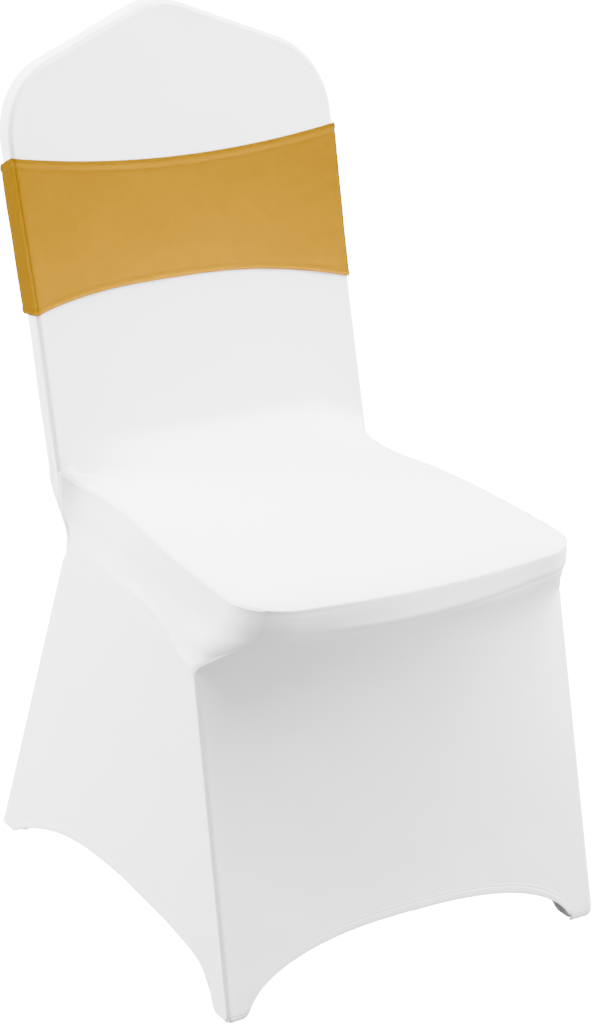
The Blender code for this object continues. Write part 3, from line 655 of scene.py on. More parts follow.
def seat_height(y, side, ahead):
    """Height of the seat, by the distances to its side and front edges."""
    level = edge_z(np.minimum(y, mix(SEAT_REAR_Y, LEVEL_REAR_Y, ease(side / LEVEL_SIDE_OVER))))
    front_level = mix(SEAT_FRONT_Z, level, ease(ahead / LEVEL_FRONT_OVER))
    level = np.where(y < SEAT_EDGE[0].y, front_level, level)
    rise = (1 - np.exp(-side / CROWN_REACH)) * (1 - np.exp(-ahead / CROWN_REACH))
    return level + SEAT_CROWN * rise


FADE_FOOT = (0.345, 0.03)  # seams sink into the cloth from this height up, over this much,
FADE_TOP = (0.4385, 0.004)  # from this height down,
FADE_REAR = (-0.12, 0.05)  # and in front of this line


def seam_fade(points):
    """How far a seam sinks into the stretched cloth: fully at the seat's front corners."""
    y, z = points[..., 1], points[..., 2]
    return rising(z, *FADE_FOOT) * falling(z, *FADE_TOP) * falling(y, *FADE_REAR)


SEAM_HOLD = 0.0012  # cloth this near to a seam keeps wholly to its line
SEAM_HOLD_OVER = 0.010


def seam_keep(distances):
    """How firmly cloth keeps to the line of its seam, by distance from it."""
    return (1 - rising(distances, SEAM_HOLD, SEAM_HOLD_OVER))[:, None]


SETBACK_SHARE = 0.5  # share of the half width over which the seat's rear line reaches its setback
FRONT_RELEASE = 12  # how quickly the side seam lets go at the seat's front edge


def seat_rows():
    """Rows of the seat from behind to its front edge, right half, and its columns' distances."""
    edge, edge_distances = side_run(SECTIONS[0])
    keep = len(edge) - len(FRONT_NEAR) + 1
    left, stations = edge[:keep][::-1], edge_distances[:keep][::-1]
    shares_down = 1 - stations / stations[0]
    front_plan = front_half(SECTIONS[0])[0][:, :2]
    width = left[0][0]
    distances = spread(width, FRONT_NEAR, FRONT_HALF_COLUMNS)
    shares = distances / width
    rear = np.stack([width * (1 - shares), left[0][1] - SEAT_SETBACK * ease(shares / SETBACK_SHARE)], 1)
    middle = rear[-1] + (front_plan[-1] - rear[-1]) * shares_down[:, None]
    rows = []
    u = shares[:, None]
    for v, side_point, middle_point in zip(shares_down, left, middle):
        ruled = rear * (1 - v) + front_plan * v + side_point[:2] * (1 - u) + middle_point * u
        corners = (rear[0] * (1 - u) + rear[-1] * u) * (1 - v)
        corners = corners + (front_plan[0] * (1 - u) + front_plan[-1] * u) * v
        plan = ruled - corners
        side = np.linalg.norm(plan - side_point[:2], axis=1)
        ahead = np.linalg.norm(plan - front_plan, axis=1)
        free = np.column_stack([plan, seat_height(plan[:, 1], side, ahead)])
        pinned = drop_from_edge(np.repeat(side_point[None], len(plan), 0), -distances)
        held = seam_keep(distances) * min(1.0, (1 - v) * FRONT_RELEASE)
        rows.append(weigh(free, pinned, held))
    return rows, distances


BLEND_STEPS = (0.0, 0.08, 0.16, 0.23, 0.30, 0.37, 0.43, 0.49, 0.55, 0.61, 0.67, 0.73, 0.80, 0.87, 0.94)
BLEND_OVER = 0.055  # distance from the seam at which the turn is as soft as it gets
BLEND_TOP = (0.020, 0.492)  # where it starts: above the seat's rear corner, and in the middle
BLEND_KNEE = (0.002, 0.001)  # how far its knee is above the corner, and above the seat
BLEND_PLACES = ((0.0, 0.016), (0.30, 0.006), (0.55, 0.0), (0.80, -0.0058), (1.0, -0.0108))


def blend_rows(base_half, seat_half, distances):
    """Rows of the soft turn from the back down into the seat."""
    edge = side_run(SECTIONS[0])[0][::-1]
    total = lengths(edge)
    depth = base_half[:, 1] - face_y(base_half[:, 2])
    share = rising(distances, SEAM_HOLD, BLEND_OVER)
    start_z = mix(SEAT_REAR_Z + BLEND_TOP[0], BLEND_TOP[1], share)
    start = np.stack([base_half[:, 0], face_y(start_z) + depth, start_z], 1)
    knee_z = mix(SEAT_REAR_Z + BLEND_KNEE[0], seat_half[:, 2] + BLEND_KNEE[1], share)
    knee = np.stack([(base_half[:, 0] + seat_half[:, 0]) / 2, face_y(knee_z) + depth, knee_z], 1)
    rows = []
    for t in BLEND_STEPS:
        place = float(np.interp(t, *zip(*BLEND_PLACES)))
        free = start * (1 - t) ** 2 + knee * 2 * t * (1 - t) + seat_half * t * t
        if place >= 0:
            pinned = leant(base_half, SEAT_REAR_Z + place)
        else:
            at = walk(edge, total, -place)
            pinned = drop_from_edge(np.repeat(at[None], len(distances), 0), -distances)
        held = seam_keep(distances)
        rows.append(weigh(free, pinned, held))
    return rows


def soften(points, row, around, rounds, fixed=3):
    """Rounds off rows around a sharp turn, leaving the columns beside the seams."""
    first, last = row - around[0], row + around[1]
    for _ in range(rounds):
        middle = points[first:last, fixed:-fixed]
        above, below = points[first - 1 : last - 1, fixed:-fixed], points[first + 1 : last + 1, fixed:-fixed]
        points[first:last, fixed:-fixed] = middle * 0.5 + (above + below) * 0.25
    return points


UNDER_EDGE_TOP = 0.4305
UNDER_EDGE_ROWS = 34
FIRST_LEVELS = (0.4372, 0.4352, 0.4330)
SIDE_FIRST_LEVELS = (0.4360, 0.4333)


def under_edge_levels(first):
    """Heights from just under the seat's edge down to the skirt's top."""
    return np.concatenate([first, np.linspace(UNDER_EDGE_TOP, SKIRT_TOP, UNDER_EDGE_ROWS)])


STRAIGHT_ROWS = 5  # of the back, under the slab's base and over the turn
EDGE_ROWS = (1, 4)  # the rounding starts one row above the seat's edge and stops before the fourth below
EDGE_ROUNDS = 3
SKIRT_TOP_ROWS = (12, 7)
SKIRT_TOP_ROUNDS = 24
SOFT_FROM_SEAM = (0.003, 0.018)  # where the rounding starts beside a side seam, and over how much it grows


def front_panel():
    grids, base = crown_grids(front_insets(), FRONT_NEAR, FRONT_HALF_COLUMNS)
    seat, distances = seat_rows()
    base_half = base[FRONT_HALF_COLUMNS - 1 :][::-1]
    turn = blend_rows(base_half, seat[0], distances)
    shares = [i / (STRAIGHT_ROWS + 1) for i in range(1, STRAIGHT_ROWS + 1)]
    rows = [base_half] + [mix(base_half, turn[0], share) for share in shares] + turn + seat
    edge_row = len(rows) - 1
    rows += [front_half(section_at(z))[0] for z in under_edge_levels(FIRST_LEVELS)]
    rows = [across(row) for row in rows]
    first_skirt = len(rows)
    skirt, above = skirt_rows(lambda section: across(front_half(section)[0]), FRONT_ARCH, 0)
    rows += skirt
    points = soften(np.array(rows), edge_row, EDGE_ROWS, EDGE_ROUNDS)
    u, v, along = cloth_places(points)
    inside = from_sides(along)
    seam = inside + FADED * seam_fade(points)
    softer = soften(points.copy(), first_skirt, SKIRT_TOP_ROWS, SKIRT_TOP_ROUNDS, 1)
    points = mix(points, softer, rising(inside, *SOFT_FROM_SEAM)[:, :, None])
    edge = np.abs(v - v[edge_row])
    return grids + [Grid(points, u, v, seam, hem_marks(points, above), edge)]


BACK_JOIN_ROWS = 14  # from the slab's base to the seat's edge


def back_panel():
    grids, base = crown_grids(rear_insets(), REAR_NEAR, REAR_HALF_COLUMNS)
    grids = [grid.reversed() for grid in grids]
    base_half = base[REAR_HALF_COLUMNS - 1 :][::-1]
    join, distances = rear_half(SECTIONS[0])
    rows = [across(base_half)]
    for share in np.linspace(0, 1, BACK_JOIN_ROWS + 1)[1:]:
        z = mix(SLAB_BASE, SEAT_REAR_Z, share)
        straight = leant(base_half, z)
        free = mix(straight, mix(base_half, join, share), share)
        held = seam_keep(distances)
        rows.append(across(weigh(free, straight, held)))
    rows += [across(rear_half(section_at(z))[0]) for z in under_edge_levels(FIRST_LEVELS)]
    skirt, above = skirt_rows(lambda section: across(rear_half(section)[0]), REAR_ARCH, 0)
    rows += skirt
    points = np.array(rows)
    u, v, along = cloth_places(points)
    seam = from_sides(along) + FADED * seam_fade(points)
    main = Grid(points, u, v, seam, hem_marks(points, above))
    return grids + [main.reversed()]


SIDE_TOP_DROPS = (SEAM_OPEN, 0.0006, 0.0012)


def side_panel():
    """Right side's sheet, columns from the front seam to the rear seam."""
    edge = side_run(SECTIONS[0])[0]
    rows = [drop_from_edge(edge, drop) for drop in SIDE_TOP_DROPS]
    rows += [side_run(section_at(z))[0] for z in under_edge_levels(SIDE_FIRST_LEVELS)]
    skirt, above = skirt_rows(lambda section: side_run(section)[0], SIDE_ARCH, 1)
    rows += skirt
    points = np.array(rows)
    along, down = rows_across(points), rows_down(points)
    seam = from_sides(along) + FADED * seam_fade(points)
    return [Grid(points, along, -down, seam, hem_marks(points, above), down)]


# ---- Foot pockets

POCKET_STEPS = 44
POCKET_CORNER_STEPS = 7
POCKET_COLUMNS = 80
POCKET_LEVEL_STEP = 0.0012  # least distance between two rows, so that the flat sole gets its share
SOLE_SHARES = (0.25, 0.5, 0.75, 0.999)


def rounded_ring(x_low, x_high, ends, front, z):
    """Rounded plan of a pocket; the corner towards the middle of the chair is the softest."""
    y_low, y_high = ends
    outer = POCKET_RADIUS if front else POCKET_REAR_RADIUS
    soft = min(POCKET_INNER_RADIUS, x_high - x_low - POCKET_RADIUS)
    corners = (
        (x_high, y_low, outer if front else POCKET_RADIUS, (-1, 1), -90),
        (x_high, y_high, POCKET_RADIUS if front else outer, (-1, -1), 0),
        (x_low, y_high, soft if front else POCKET_RADIUS, (1, -1), 90),
        (x_low, y_low, POCKET_RADIUS if front else soft, (1, 1), 180),
    )
    ring = []
    for x, y, radius, (toward_x, toward_y), start in corners:
        centre = (x + toward_x * radius, y + toward_y * radius)
        ring.append(arc(centre, radius, start, start + 90, POCKET_CORNER_STEPS))
    plan = np.vstack(ring + [ring[0][:1]])
    total = lengths(plan)
    even = walk(plan, total, np.linspace(0, total[-1], POCKET_COLUMNS + 1))
    return np.column_stack([even, np.full(len(even), z)])


def pocket(front):
    """Right-hand pocket, from its mouth down to the middle of its sole."""
    rows = POCKET_ROWS[::-1]
    z_rows = np.array([row.z for row in rows])
    level = np.concatenate([[0.0], np.cumsum(np.hypot(np.diff(z_rows), POCKET_LEVEL_STEP))])
    rings = []
    for at in np.linspace(level[-1], 0, POCKET_STEPS):
        z, side, end, width, length = (
            float(smooth(level, [getattr(row, name) for row in rows], at)) for name in PocketRow._fields
        )
        z = max(z, 0.0)
        corner_x, corner_y = front_leg(z) if front else rear_leg(z)
        ends = (corner_y + end, corner_y + length) if front else (corner_y - length, corner_y - end)
        rings.append(rounded_ring(corner_x - width, corner_x - side, ends, front, z))
    middle = rings[-1].mean(axis=0)
    rings += [mix(rings[-1], middle, share) for share in SOLE_SHARES]
    points = np.array(rings)
    down = rows_down(points)
    return [Grid(points, rows_across(points), -down, FAR, down)]


# ---- Sash band

BAND_FACE_STEPS = 96
BAND_CORNER_STEPS = 8
BAND_SIDE_STEPS = 6
BAND_HEM_ROWS = 12
BAND_BODY_ROWS = 52
JOIN_ON_EDGE = 0.6  # how far on to the rounded edge the band's side seam lies, as a share of its radius


def band_edge_z(edge, drop, x, depth_share):
    side = np.where(x < 0, edge.left, edge.right)
    power = np.where(x < 0, edge.left_power, edge.right_power)
    share = np.minimum(np.abs(x) / BACK_HALF, 1.0)
    return edge.middle + side * share**power - drop * depth_share


def band_plan():
    half = BACK_HALF + BAND_SIDE_STAND_OFF
    front, rear = -BAND_STAND_OFF, BACK_DEPTH + BAND_STAND_OFF
    radius, steps = BAND_EDGE_RADIUS, BAND_FACE_STEPS // 2
    flat = half - radius
    across_face = np.linspace(0, flat, steps + 1)
    side = np.linspace(front + radius, rear - radius, BAND_SIDE_STEPS + 1)
    right = np.vstack([
        np.stack([across_face[:-1], np.full(steps, front)], 1),
        arc((flat, front + radius), radius, -90, 0, BAND_CORNER_STEPS),
        np.stack([np.full(BAND_SIDE_STEPS - 1, half), side[1:-1]], 1),
        arc((flat, rear - radius), radius, 0, 90, BAND_CORNER_STEPS),
        np.stack([across_face[:-1][::-1], np.full(steps, rear)], 1),
    ])
    loop = np.vstack([right, (right * np.array([-1, 1]))[-2:0:-1]])
    return np.vstack([loop, loop[:1]])


def sash_band():
    plan = band_plan()
    along = lengths(plan)
    share = np.clip(plan[:, 1] / BACK_DEPTH, 0.0, 1.0)
    top = band_edge_z(BAND_TOP, BAND_TOP_DROP, plan[:, 0], share)
    bottom = band_edge_z(BAND_BOTTOM, BAND_BOTTOM_DROP, plan[:, 0], share)
    steps = [(i / BAND_HEM_ROWS, 0.0) for i in range(BAND_HEM_ROWS)]
    steps += [(1.0, j / BAND_BODY_ROWS) for j in range(BAND_BODY_ROWS + 1)]
    rows, down = [], []
    for hem_share, body_share in steps:
        upper = top - BAND_HEM * hem_share
        z = mix(upper, bottom, body_share)
        wider = (slab_half(z) + BAND_SIDE_STAND_OFF) / (BACK_HALF + BAND_SIDE_STAND_OFF)
        rows.append(np.stack([plan[:, 0] * wider, face_y(z) + plan[:, 1], z], 1))
        down.append((top - z) * math.hypot(1, LEAN))
    down = np.array(down)
    length = down[-1]
    join = along[-1] - (BACK_HALF + BAND_SIDE_STAND_OFF - BAND_EDGE_RADIUS * JOIN_ON_EDGE)
    return [Grid(np.array(rows), along, -down, down, length - down, np.abs(along - join))]


# ---- Sheets


Waves = namedtuple("Waves", "height length seed")
COVER_WAVES = (Waves(0.00055, 0.16, 3), Waves(0.00022, 0.055, 5))
SIDE_WAVES = (Waves(0.00045, 0.14, 7), Waves(0.00018, 0.05, 8))
POCKET_WAVES = (Waves(0.00015, 0.02, 11),)
BAND_WAVES = (Waves(0.0003, 0.05, 13),)
WAVE_COUNT = 26
WAVE_LENGTHS = (0.7, 1.6)  # shortest and longest, as shares of the length asked for
WAVE_SCALE = 0.6


def waves(points, length, seed):
    """Soft unevenness between about -1 and 1, made of plane waves in many directions."""
    rng = np.random.default_rng(seed)
    directions = rng.normal(size=(WAVE_COUNT, 3))
    directions /= np.linalg.norm(directions, axis=1)[:, None]
    pitches = 2 * np.pi / (length * rng.uniform(*WAVE_LENGTHS, WAVE_COUNT))
    phases = rng.uniform(0, 2 * np.pi, WAVE_COUNT)
    heights = np.cos(points @ (directions * pitches[:, None]).T + phases).sum(axis=1)
    return heights * math.sqrt(2 / WAVE_COUNT) * WAVE_SCALE


def uneven(points, parts):
    return sum(part.height * waves(points, part.length, part.seed) for part in parts)


def bell(value, centre, width):
    return np.exp(-(((value - centre) / width) ** 2))


WELD = 0.00002


def sheet_mesh(name, grids):
    """One welded mesh with its cloth coordinates as a UV map and distances as attributes."""
    points, faces, marks = [], [], []
    start = 0
    for grid in grids:
        rows, columns = grid.points.shape[:2]
        index = np.arange(rows * columns).reshape(rows, columns) + start
        quads = np.stack([index[:-1, :-1], index[1:, :-1], index[1:, 1:], index[:-1, 1:]], -1).reshape(-1, 4)
        faces.append(quads)
        points.append(grid.points.reshape(-1, 3))
        marks.append(np.stack([grid.u, grid.v, grid.seam, grid.hem, grid.edge], -1).reshape(-1, 5))
        start += rows * columns
    points, faces, marks = np.vstack(points), np.vstack(faces), np.vstack(marks)
    mesh = bpy.data.meshes.new(name)
    mesh.from_pydata(points.tolist(), [], faces.tolist())
    uv = mesh.uv_layers.new(name="cloth")
    uv.data.foreach_set("uv", marks[faces.reshape(-1), :2].astype(np.float32).ravel())
    for column, label in ((2, "seam"), (3, "hem"), (4, "edge")):
        layer = mesh.attributes.new(label, "FLOAT", "POINT")
        layer.data.foreach_set("value", marks[:, column].astype(np.float32))
    work = bmesh.new()
    work.from_mesh(mesh)
    bmesh.ops.remove_doubles(work, verts=work.verts, dist=WELD)
    work.to_mesh(mesh)
    work.free()
    return mesh


def values_of(data, name, width=1):
    """A value of every point, as rows where it has more than one number."""
    values = np.zeros(len(data) * width, np.float32)
    data.foreach_get(name, values)
    return (values if width == 1 else values.reshape(-1, width)).astype(float)


def sheet(name, grids, thickness, finish, relief, node):
    """A sheet of cloth: welded, given its relief, then its thickness, inwards."""
    mesh = sheet_mesh(name, grids)
    points, normals = values_of(mesh.vertices, "co", 3), values_of(mesh.vertex_normals, "vector", 3)
    marks = {label: values_of(mesh.attributes[label].data, "value") for label in ("seam", "hem", "edge")}
    moved = points + normals * relief(points, marks)[:, None]
    mesh.vertices.foreach_set("co", moved.ravel())
    mesh.update()
    mesh.materials.append(finish)
    mesh.shade_smooth()
    piece = bpy.data.objects.new(name, mesh)
    bpy.context.scene.collection.objects.link(piece)
    wall = piece.modifiers.new("thickness", "SOLIDIFY")
    wall.thickness = thickness
    wall.offset = -1.0
    bpy.context.view_layer.objects.active = piece
    bpy.ops.object.modifier_apply(modifier="thickness")
    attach(piece, "root")
    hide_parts(node)
    return piece


Swell = namedtuple("Swell", "height place width")  # a low rise, or a groove where height is below zero
SEAM_GROOVE = Swell(-0.00045, 0.0, 0.0009)
SEAM_WELT = Swell(0.00022, 0.0042, 0.0022)
HEM_STITCHING = Swell(-0.00055, 0.0086, 0.0009)
RIDGE = Swell(0.0010, -0.001, 0.0045)
BAND_ROLL = Swell(0.0009, 0.0045, 0.0030)
BAND_STITCHING = Swell(-0.0006, 0.0098, 0.0010)
BAND_LOWER_ROLL = Swell(0.0005, 0.0040, 0.0028)
BAND_LOWER_STITCHING = Swell(-0.0004, 0.0085, 0.0010)
BAND_JOIN_GROOVE = Swell(-0.0009, 0.0, 0.0011)
BAND_JOIN_WELT = Swell(0.0005, 0.0042, 0.0024)
EDGE_ROLL = 0.0012  # the rounding at an edge fades over about this distance
HEM_FOLD = 0.00055  # how much thicker the folded hem is
HEM_FOLD_END = (0.0092, 0.0020)
HEM_ROLL_DEPTH = 0.00070
BAND_ROLL_DEPTH = 0.0007
BAND_LOWER_ROLL_DEPTH = 0.0005
CALM = 0.03  # the cloth's unevenness is whole this far from a seam


def swell(distance, form):
    return form.height * bell(distance, form.place, form.width)


def rolled(distance, depth):
    """An edge that rounds off towards its end."""
    return -depth * np.exp(-distance / EDGE_ROLL)


def seam_relief(distance):
    """Groove where two panels are sewn, with a low welt of turned cloth beside it."""
    return swell(distance, SEAM_GROOVE) + swell(distance, SEAM_WELT)


def hem_relief(distance):
    """A turned and stitched edge: thicker up to its stitching, which pulls in, and rolled at the edge."""
    fold = HEM_FOLD * (1 - rising(distance, *HEM_FOLD_END))
    return fold + swell(distance, HEM_STITCHING) + rolled(distance, HEM_ROLL_DEPTH)


def sewn_relief(points, marks, parts, sewn):
    """Unevenness that dies out at the seams, the seams themselves and the hem."""
    return uneven(points, parts) * ease(sewn / CALM) + seam_relief(sewn) + hem_relief(marks["hem"])


def cover_relief(points, marks):
    return sewn_relief(points, marks, COVER_WAVES, marks["seam"])


CREASE = Swell(-0.0011, 0.030, 0.0022)  # its place is under the seat's front edge, at the middle
CREASE_TILT = 0.03
CREASE_LEFT = (-0.16, 0.08)
PAD = Swell(0.0007, -0.0065, 0.0042)  # its place is above the crease
PINCH = Swell(-0.0008, 0.0040, 0.0013)
PINCH_X, PINCH_WIDTH = -0.135, 0.045
EDGE_FACE_Y = (-0.19, 0.02)  # the pads and crease lie in front of this line
EDGE_FACE_TOP = (0.4385, 0.002)  # and under this height
EDGE_SEAM_OVER = 0.006


def front_relief(points, marks):
    """The cover's relief, with the pads of the seat's front edge and the crease under them."""
    x, y, z = points.T
    edge, below = marks["edge"], falling(y, *EDGE_FACE_Y) * falling(z, *EDGE_FACE_TOP)
    low = CREASE.place - CREASE_TILT * x
    crease = swell(edge, CREASE._replace(place=low)) + swell(edge, PAD._replace(place=low + PAD.place))
    pinch = swell(edge, PINCH) * bell(x, PINCH_X, PINCH_WIDTH)
    kept = ease(marks["seam"] / EDGE_SEAM_OVER)
    return cover_relief(points, marks) + below * kept * (crease * rising(x, *CREASE_LEFT) + pinch)


HOLLOW_DEPTH = 0.0040
HOLLOW_FOOT = 0.009  # height over the ridge at which the hollow is deepest
HOLLOW_TOP = (0.010, 0.030)
RIDGE_END = (0.03, 0.13)
RIDGE_SEAM_OVER = 0.016
RIDGE_Y = (-0.205, -0.195, -0.170, -0.151, -0.131, -0.108, -0.080, -0.043, 0.0, 0.05)
RIDGE_Z = (0.352, 0.360, 0.366, 0.374, 0.379, 0.384, 0.388, 0.388, 0.384, 0.378)


def side_relief(points, marks):
    """The cover's relief, with the ridge that runs back from each front leg and the hollow over it."""
    y, z = points[:, 1], points[:, 2]
    over = z - np.interp(y, RIDGE_Y, RIDGE_Z)
    hollow = ease(over / HOLLOW_FOOT) * (1 - rising(over, *HOLLOW_TOP))
    ridge = swell(over, RIDGE) - HOLLOW_DEPTH * hollow
    ridge = ridge * falling(y, *RIDGE_END) * ease(marks["seam"] / RIDGE_SEAM_OVER)
    return sewn_relief(points, marks, SIDE_WAVES, np.minimum(marks["seam"], marks["edge"])) + ridge


def pocket_relief(points, marks):
    return uneven(points, POCKET_WAVES)


def band_relief(points, marks):
    down, up, join = marks["seam"], marks["hem"], marks["edge"]
    roll = swell(down, BAND_ROLL) + rolled(down, BAND_ROLL_DEPTH)
    lower = swell(up, BAND_LOWER_ROLL) + rolled(up, BAND_LOWER_ROLL_DEPTH) + swell(up, BAND_LOWER_STITCHING)
    sewn = swell(join, BAND_JOIN_GROOVE) + swell(join, BAND_JOIN_WELT)
    return roll + swell(down, BAND_STITCHING) + lower + sewn + uneven(points, BAND_WAVES)


# ---- Materials


class Socket:
    """A node's output that takes part in sums."""

    def __init__(self, tree, link):
        self.tree, self.link = tree, link

    def _math(self, operation, a, b=None):
        values = [a] if b is None else [a, b]
        return self.tree.node("ShaderNodeMath", {"operation": operation}, values)

    def __add__(self, other):
        return self._math("ADD", self, other)

    __radd__ = __add__

    def __sub__(self, other):
        return self._math("SUBTRACT", self, other)

    def __rsub__(self, other):
        return self._math("SUBTRACT", other, self)

    def __mul__(self, other):
        return self._math("MULTIPLY", self, other)

    __rmul__ = __mul__

    def __truediv__(self, other):
        return self._math("DIVIDE", self, other)

    def sine(self):
        return self._math("SINE", self)

    def size(self):
        return self._math("ABSOLUTE", self)

    def fraction(self):
        return self._math("FRACT", self)

    def below(self, other):
        return self._math("LESS_THAN", self, other)


class Tree:
    """The node tree of a material or a world."""

    def __init__(self, owner):
        owner.use_nodes = True
        self.nodes, self.links = owner.node_tree.nodes, owner.node_tree.links

    def node(self, kind, settings=None, inputs=(), output=0):
        made = self.nodes.new(kind)
        for name, value in (settings or {}).items():
            setattr(made, name, value)
        pairs = inputs.items() if isinstance(inputs, dict) else enumerate(inputs)
        for key, value in pairs:
            if isinstance(value, Socket):
                self.links.new(value.link, made.inputs[key])
            else:
                made.inputs[key].default_value = value
        return Socket(self, made.outputs[output])

    def set_values(self, name, values):
        """Sets a standing node's values and gives its first output."""
        for socket, value in values.items():
            self.nodes[name].inputs[socket.replace("_", " ")].default_value = value
        return Socket(self, self.nodes[name].outputs[0])

    def show_backdrop(self, lit, glow, end):
        """Ends the tree in one shader for light and another, brighter one for the lens."""
        ray = self.node("ShaderNodeLightPath", output="Is Camera Ray")
        either = self.node("ShaderNodeMixShader", None, [ray, lit, glow])
        self.links.new(either.link, self.nodes[end].inputs["Surface"])


class Finish(Tree):
    """A material and its node tree."""

    def __init__(self, name, **constants):
        self.material = bpy.data.materials.new(name)
        super().__init__(self.material)
        self.shader = self.set_values("Principled BSDF", constants)

    def feed(self, socket, value):
        self.links.new(value.link, self.nodes["Principled BSDF"].inputs[socket])

    def attribute(self, name):
        return self.node("ShaderNodeAttribute", {"attribute_name": name}, output="Fac")

    def uv(self):
        both = self.node("ShaderNodeUVMap", {"uv_map": "cloth"})
        return [self.node("ShaderNodeSeparateXYZ", None, [both], output) for output in (0, 1)]

    def noise(self, scale, detail, roughness):
        values = {"Scale": scale, "Detail": detail, "Roughness": roughness}
        values["Vector"] = self.node("ShaderNodeTexCoord", output="Object")
        return self.node("ShaderNodeTexNoise", None, values)

    def blend(self, share, a, b):
        settings = {"data_type": "RGBA", "clamp_factor": True}
        return self.node("ShaderNodeMix", settings, {0: share, 6: a, 7: b}, output=2)

    def bump(self, height, strength, distance, under=None):
        inputs = {"Strength": strength, "Distance": distance, "Height": height}
        if under is not None:
            inputs["Normal"] = under
        return self.node("ShaderNodeBump", None, inputs)


WALE = 0.00085
COURSE = 0.00070
RIB_WANDER = 0.9
RIB_SHARE, COURSE_SHARE = 0.5, 0.35
HEM_THREAD = 0.0072  # distance of the thread from the edge
STITCH_PITCH = 0.0030
STITCH_WIDTH = 0.0004
STITCH_SHARE = 0.72  # share of the pitch that is thread
TURN = 2 * math.pi

WHITE = (0.80, 0.798, 0.82, 1)
POCKET_WHITE = (0.76, 0.758, 0.78, 1)
WHITE_THREAD = (0.93, 0.93, 0.93, 1)
DEEP_GOLD = (0.70, 0.332, 0.0015, 1)
PALE_GOLD = (0.77, 0.368, 0.002, 1)
# painted shade: darker gold for the shadow under the band's rolled top hem
SHADED_GOLD = (0.62, 0.24, 0.008, 1)
# painted shadow: dark brown for the shade along the band's bottom edge and in its side seam's groove
PAINTED_SHADOW_BROWN = (0.28, 0.09, 0.004, 1)
GOLD_THREAD = (0.98, 0.58, 0.06, 1)

PAINTED_GROOVE_SHADE, DARKER, PALER = 0.8, 0.955, 1.03  # shares of the white: painted shade in the grooves of seams and hems, and darker and paler mottling
WHITE_THREAD_SHARE, GOLD_THREAD_SHARE = 0.25, 0.3
GOLD_ROUGH = 0.62
ROUGH_SPREAD = 0.12

Mark = namedtuple("Mark", "place width share")  # a line of painted shade beside an edge
SEAM_SHADE = Mark(0.0003, 0.0009, 0.22)
HEM_SHADE = Mark(0.0088, 0.0010, 0.45)
BAND_HEM_SHADE = Mark(0.0100, 0.0012, 0.45)
BAND_FOOT_SHADE = Mark(0.0, 0.0024, 0.9)
BAND_JOIN_SHADE = Mark(0.0, 0.0013, 0.6)
Bumps = namedtuple("Bumps", "loops slubs thread")  # strength and distance of each
WHITE_BUMPS = Bumps((0.18, 0.00012), (0.12, 0.0004), (0.5, 0.00025))
YELLOW_BUMPS = Bumps((0.22, 0.00014), (0.15, 0.0005), (0.6, 0.0003))


def knit_height(u, v):
    """Fine vertical ribs of loops: each rib waves a little from side to side as its loops alternate."""
    courses = (v * (TURN / COURSE)).sine()
    ribs = (u * (TURN / WALE) + courses * RIB_WANDER).sine()
    return ribs * RIB_SHARE + courses * COURSE_SHARE


def stitches(distance, along, place):
    """Short stitches in a row at a set distance from an edge, 1 on the thread and 0 off it."""
    row = (distance - place).size().below(STITCH_WIDTH)
    return row * (along / STITCH_PITCH).fraction().below(STITCH_SHARE)


def shade(distance, mark):
    """Falls from the mark's share on its line to 0 at its width, and below 0 further off."""
    off = (distance - mark.place).size() if mark.place else distance
    return (1 - off / mark.width) * mark.share


def shaded(tint, share):
    return tuple(min(1.0, c * share) for c in tint[:3]) + (1,)


def cloth_noise(finish, slub_scale, cloud_scale):
    """Slubs, and how they and wider clouds mottle the cloth."""
    slubs, clouds = finish.noise(slub_scale, 4.0, 0.6), finish.noise(cloud_scale, 2.0, 0.5)
    return slubs, clouds * 0.5 + slubs * 0.5


def raise_cloth(finish, u, v, slubs, thread, bumps):
    """Loops, slubs and stitches that stand up from the cloth, each over the one before."""
    fine = finish.bump(knit_height(u, v), *bumps.loops)
    slubby = finish.bump(slubs, *bumps.slubs, fine)
    finish.feed("Normal", finish.bump(thread, *bumps.thread, slubby))


def white_knit(name, tint, rough):
    finish = Finish(name, Roughness=rough, Sheen_Weight=0.2, Sheen_Roughness=0.5, Specular_IOR_Level=0.3)
    u, v = finish.uv()
    hem, seam = finish.attribute("hem"), finish.attribute("seam")
    thread = stitches(hem, u, HEM_THREAD)
    slubs, mottling = cloth_noise(finish, 140.0, 9.0)
    colour = finish.blend(mottling, shaded(tint, DARKER), shaded(tint, PALER))
    # painted shade: each seam's groove darkened
    colour = finish.blend(shade(seam, SEAM_SHADE), colour, shaded(tint, PAINTED_GROOVE_SHADE))
    # painted shade: the hem's stitching groove darkened
    colour = finish.blend(shade(hem, HEM_SHADE), colour, shaded(tint, PAINTED_GROOVE_SHADE))
    finish.feed("Base Color", finish.blend(thread * WHITE_THREAD_SHARE, colour, WHITE_THREAD))
    finish.feed("Roughness", slubs * ROUGH_SPREAD + (rough - ROUGH_SPREAD / 2))
    raise_cloth(finish, u, v, slubs, thread, WHITE_BUMPS)
    return finish.material


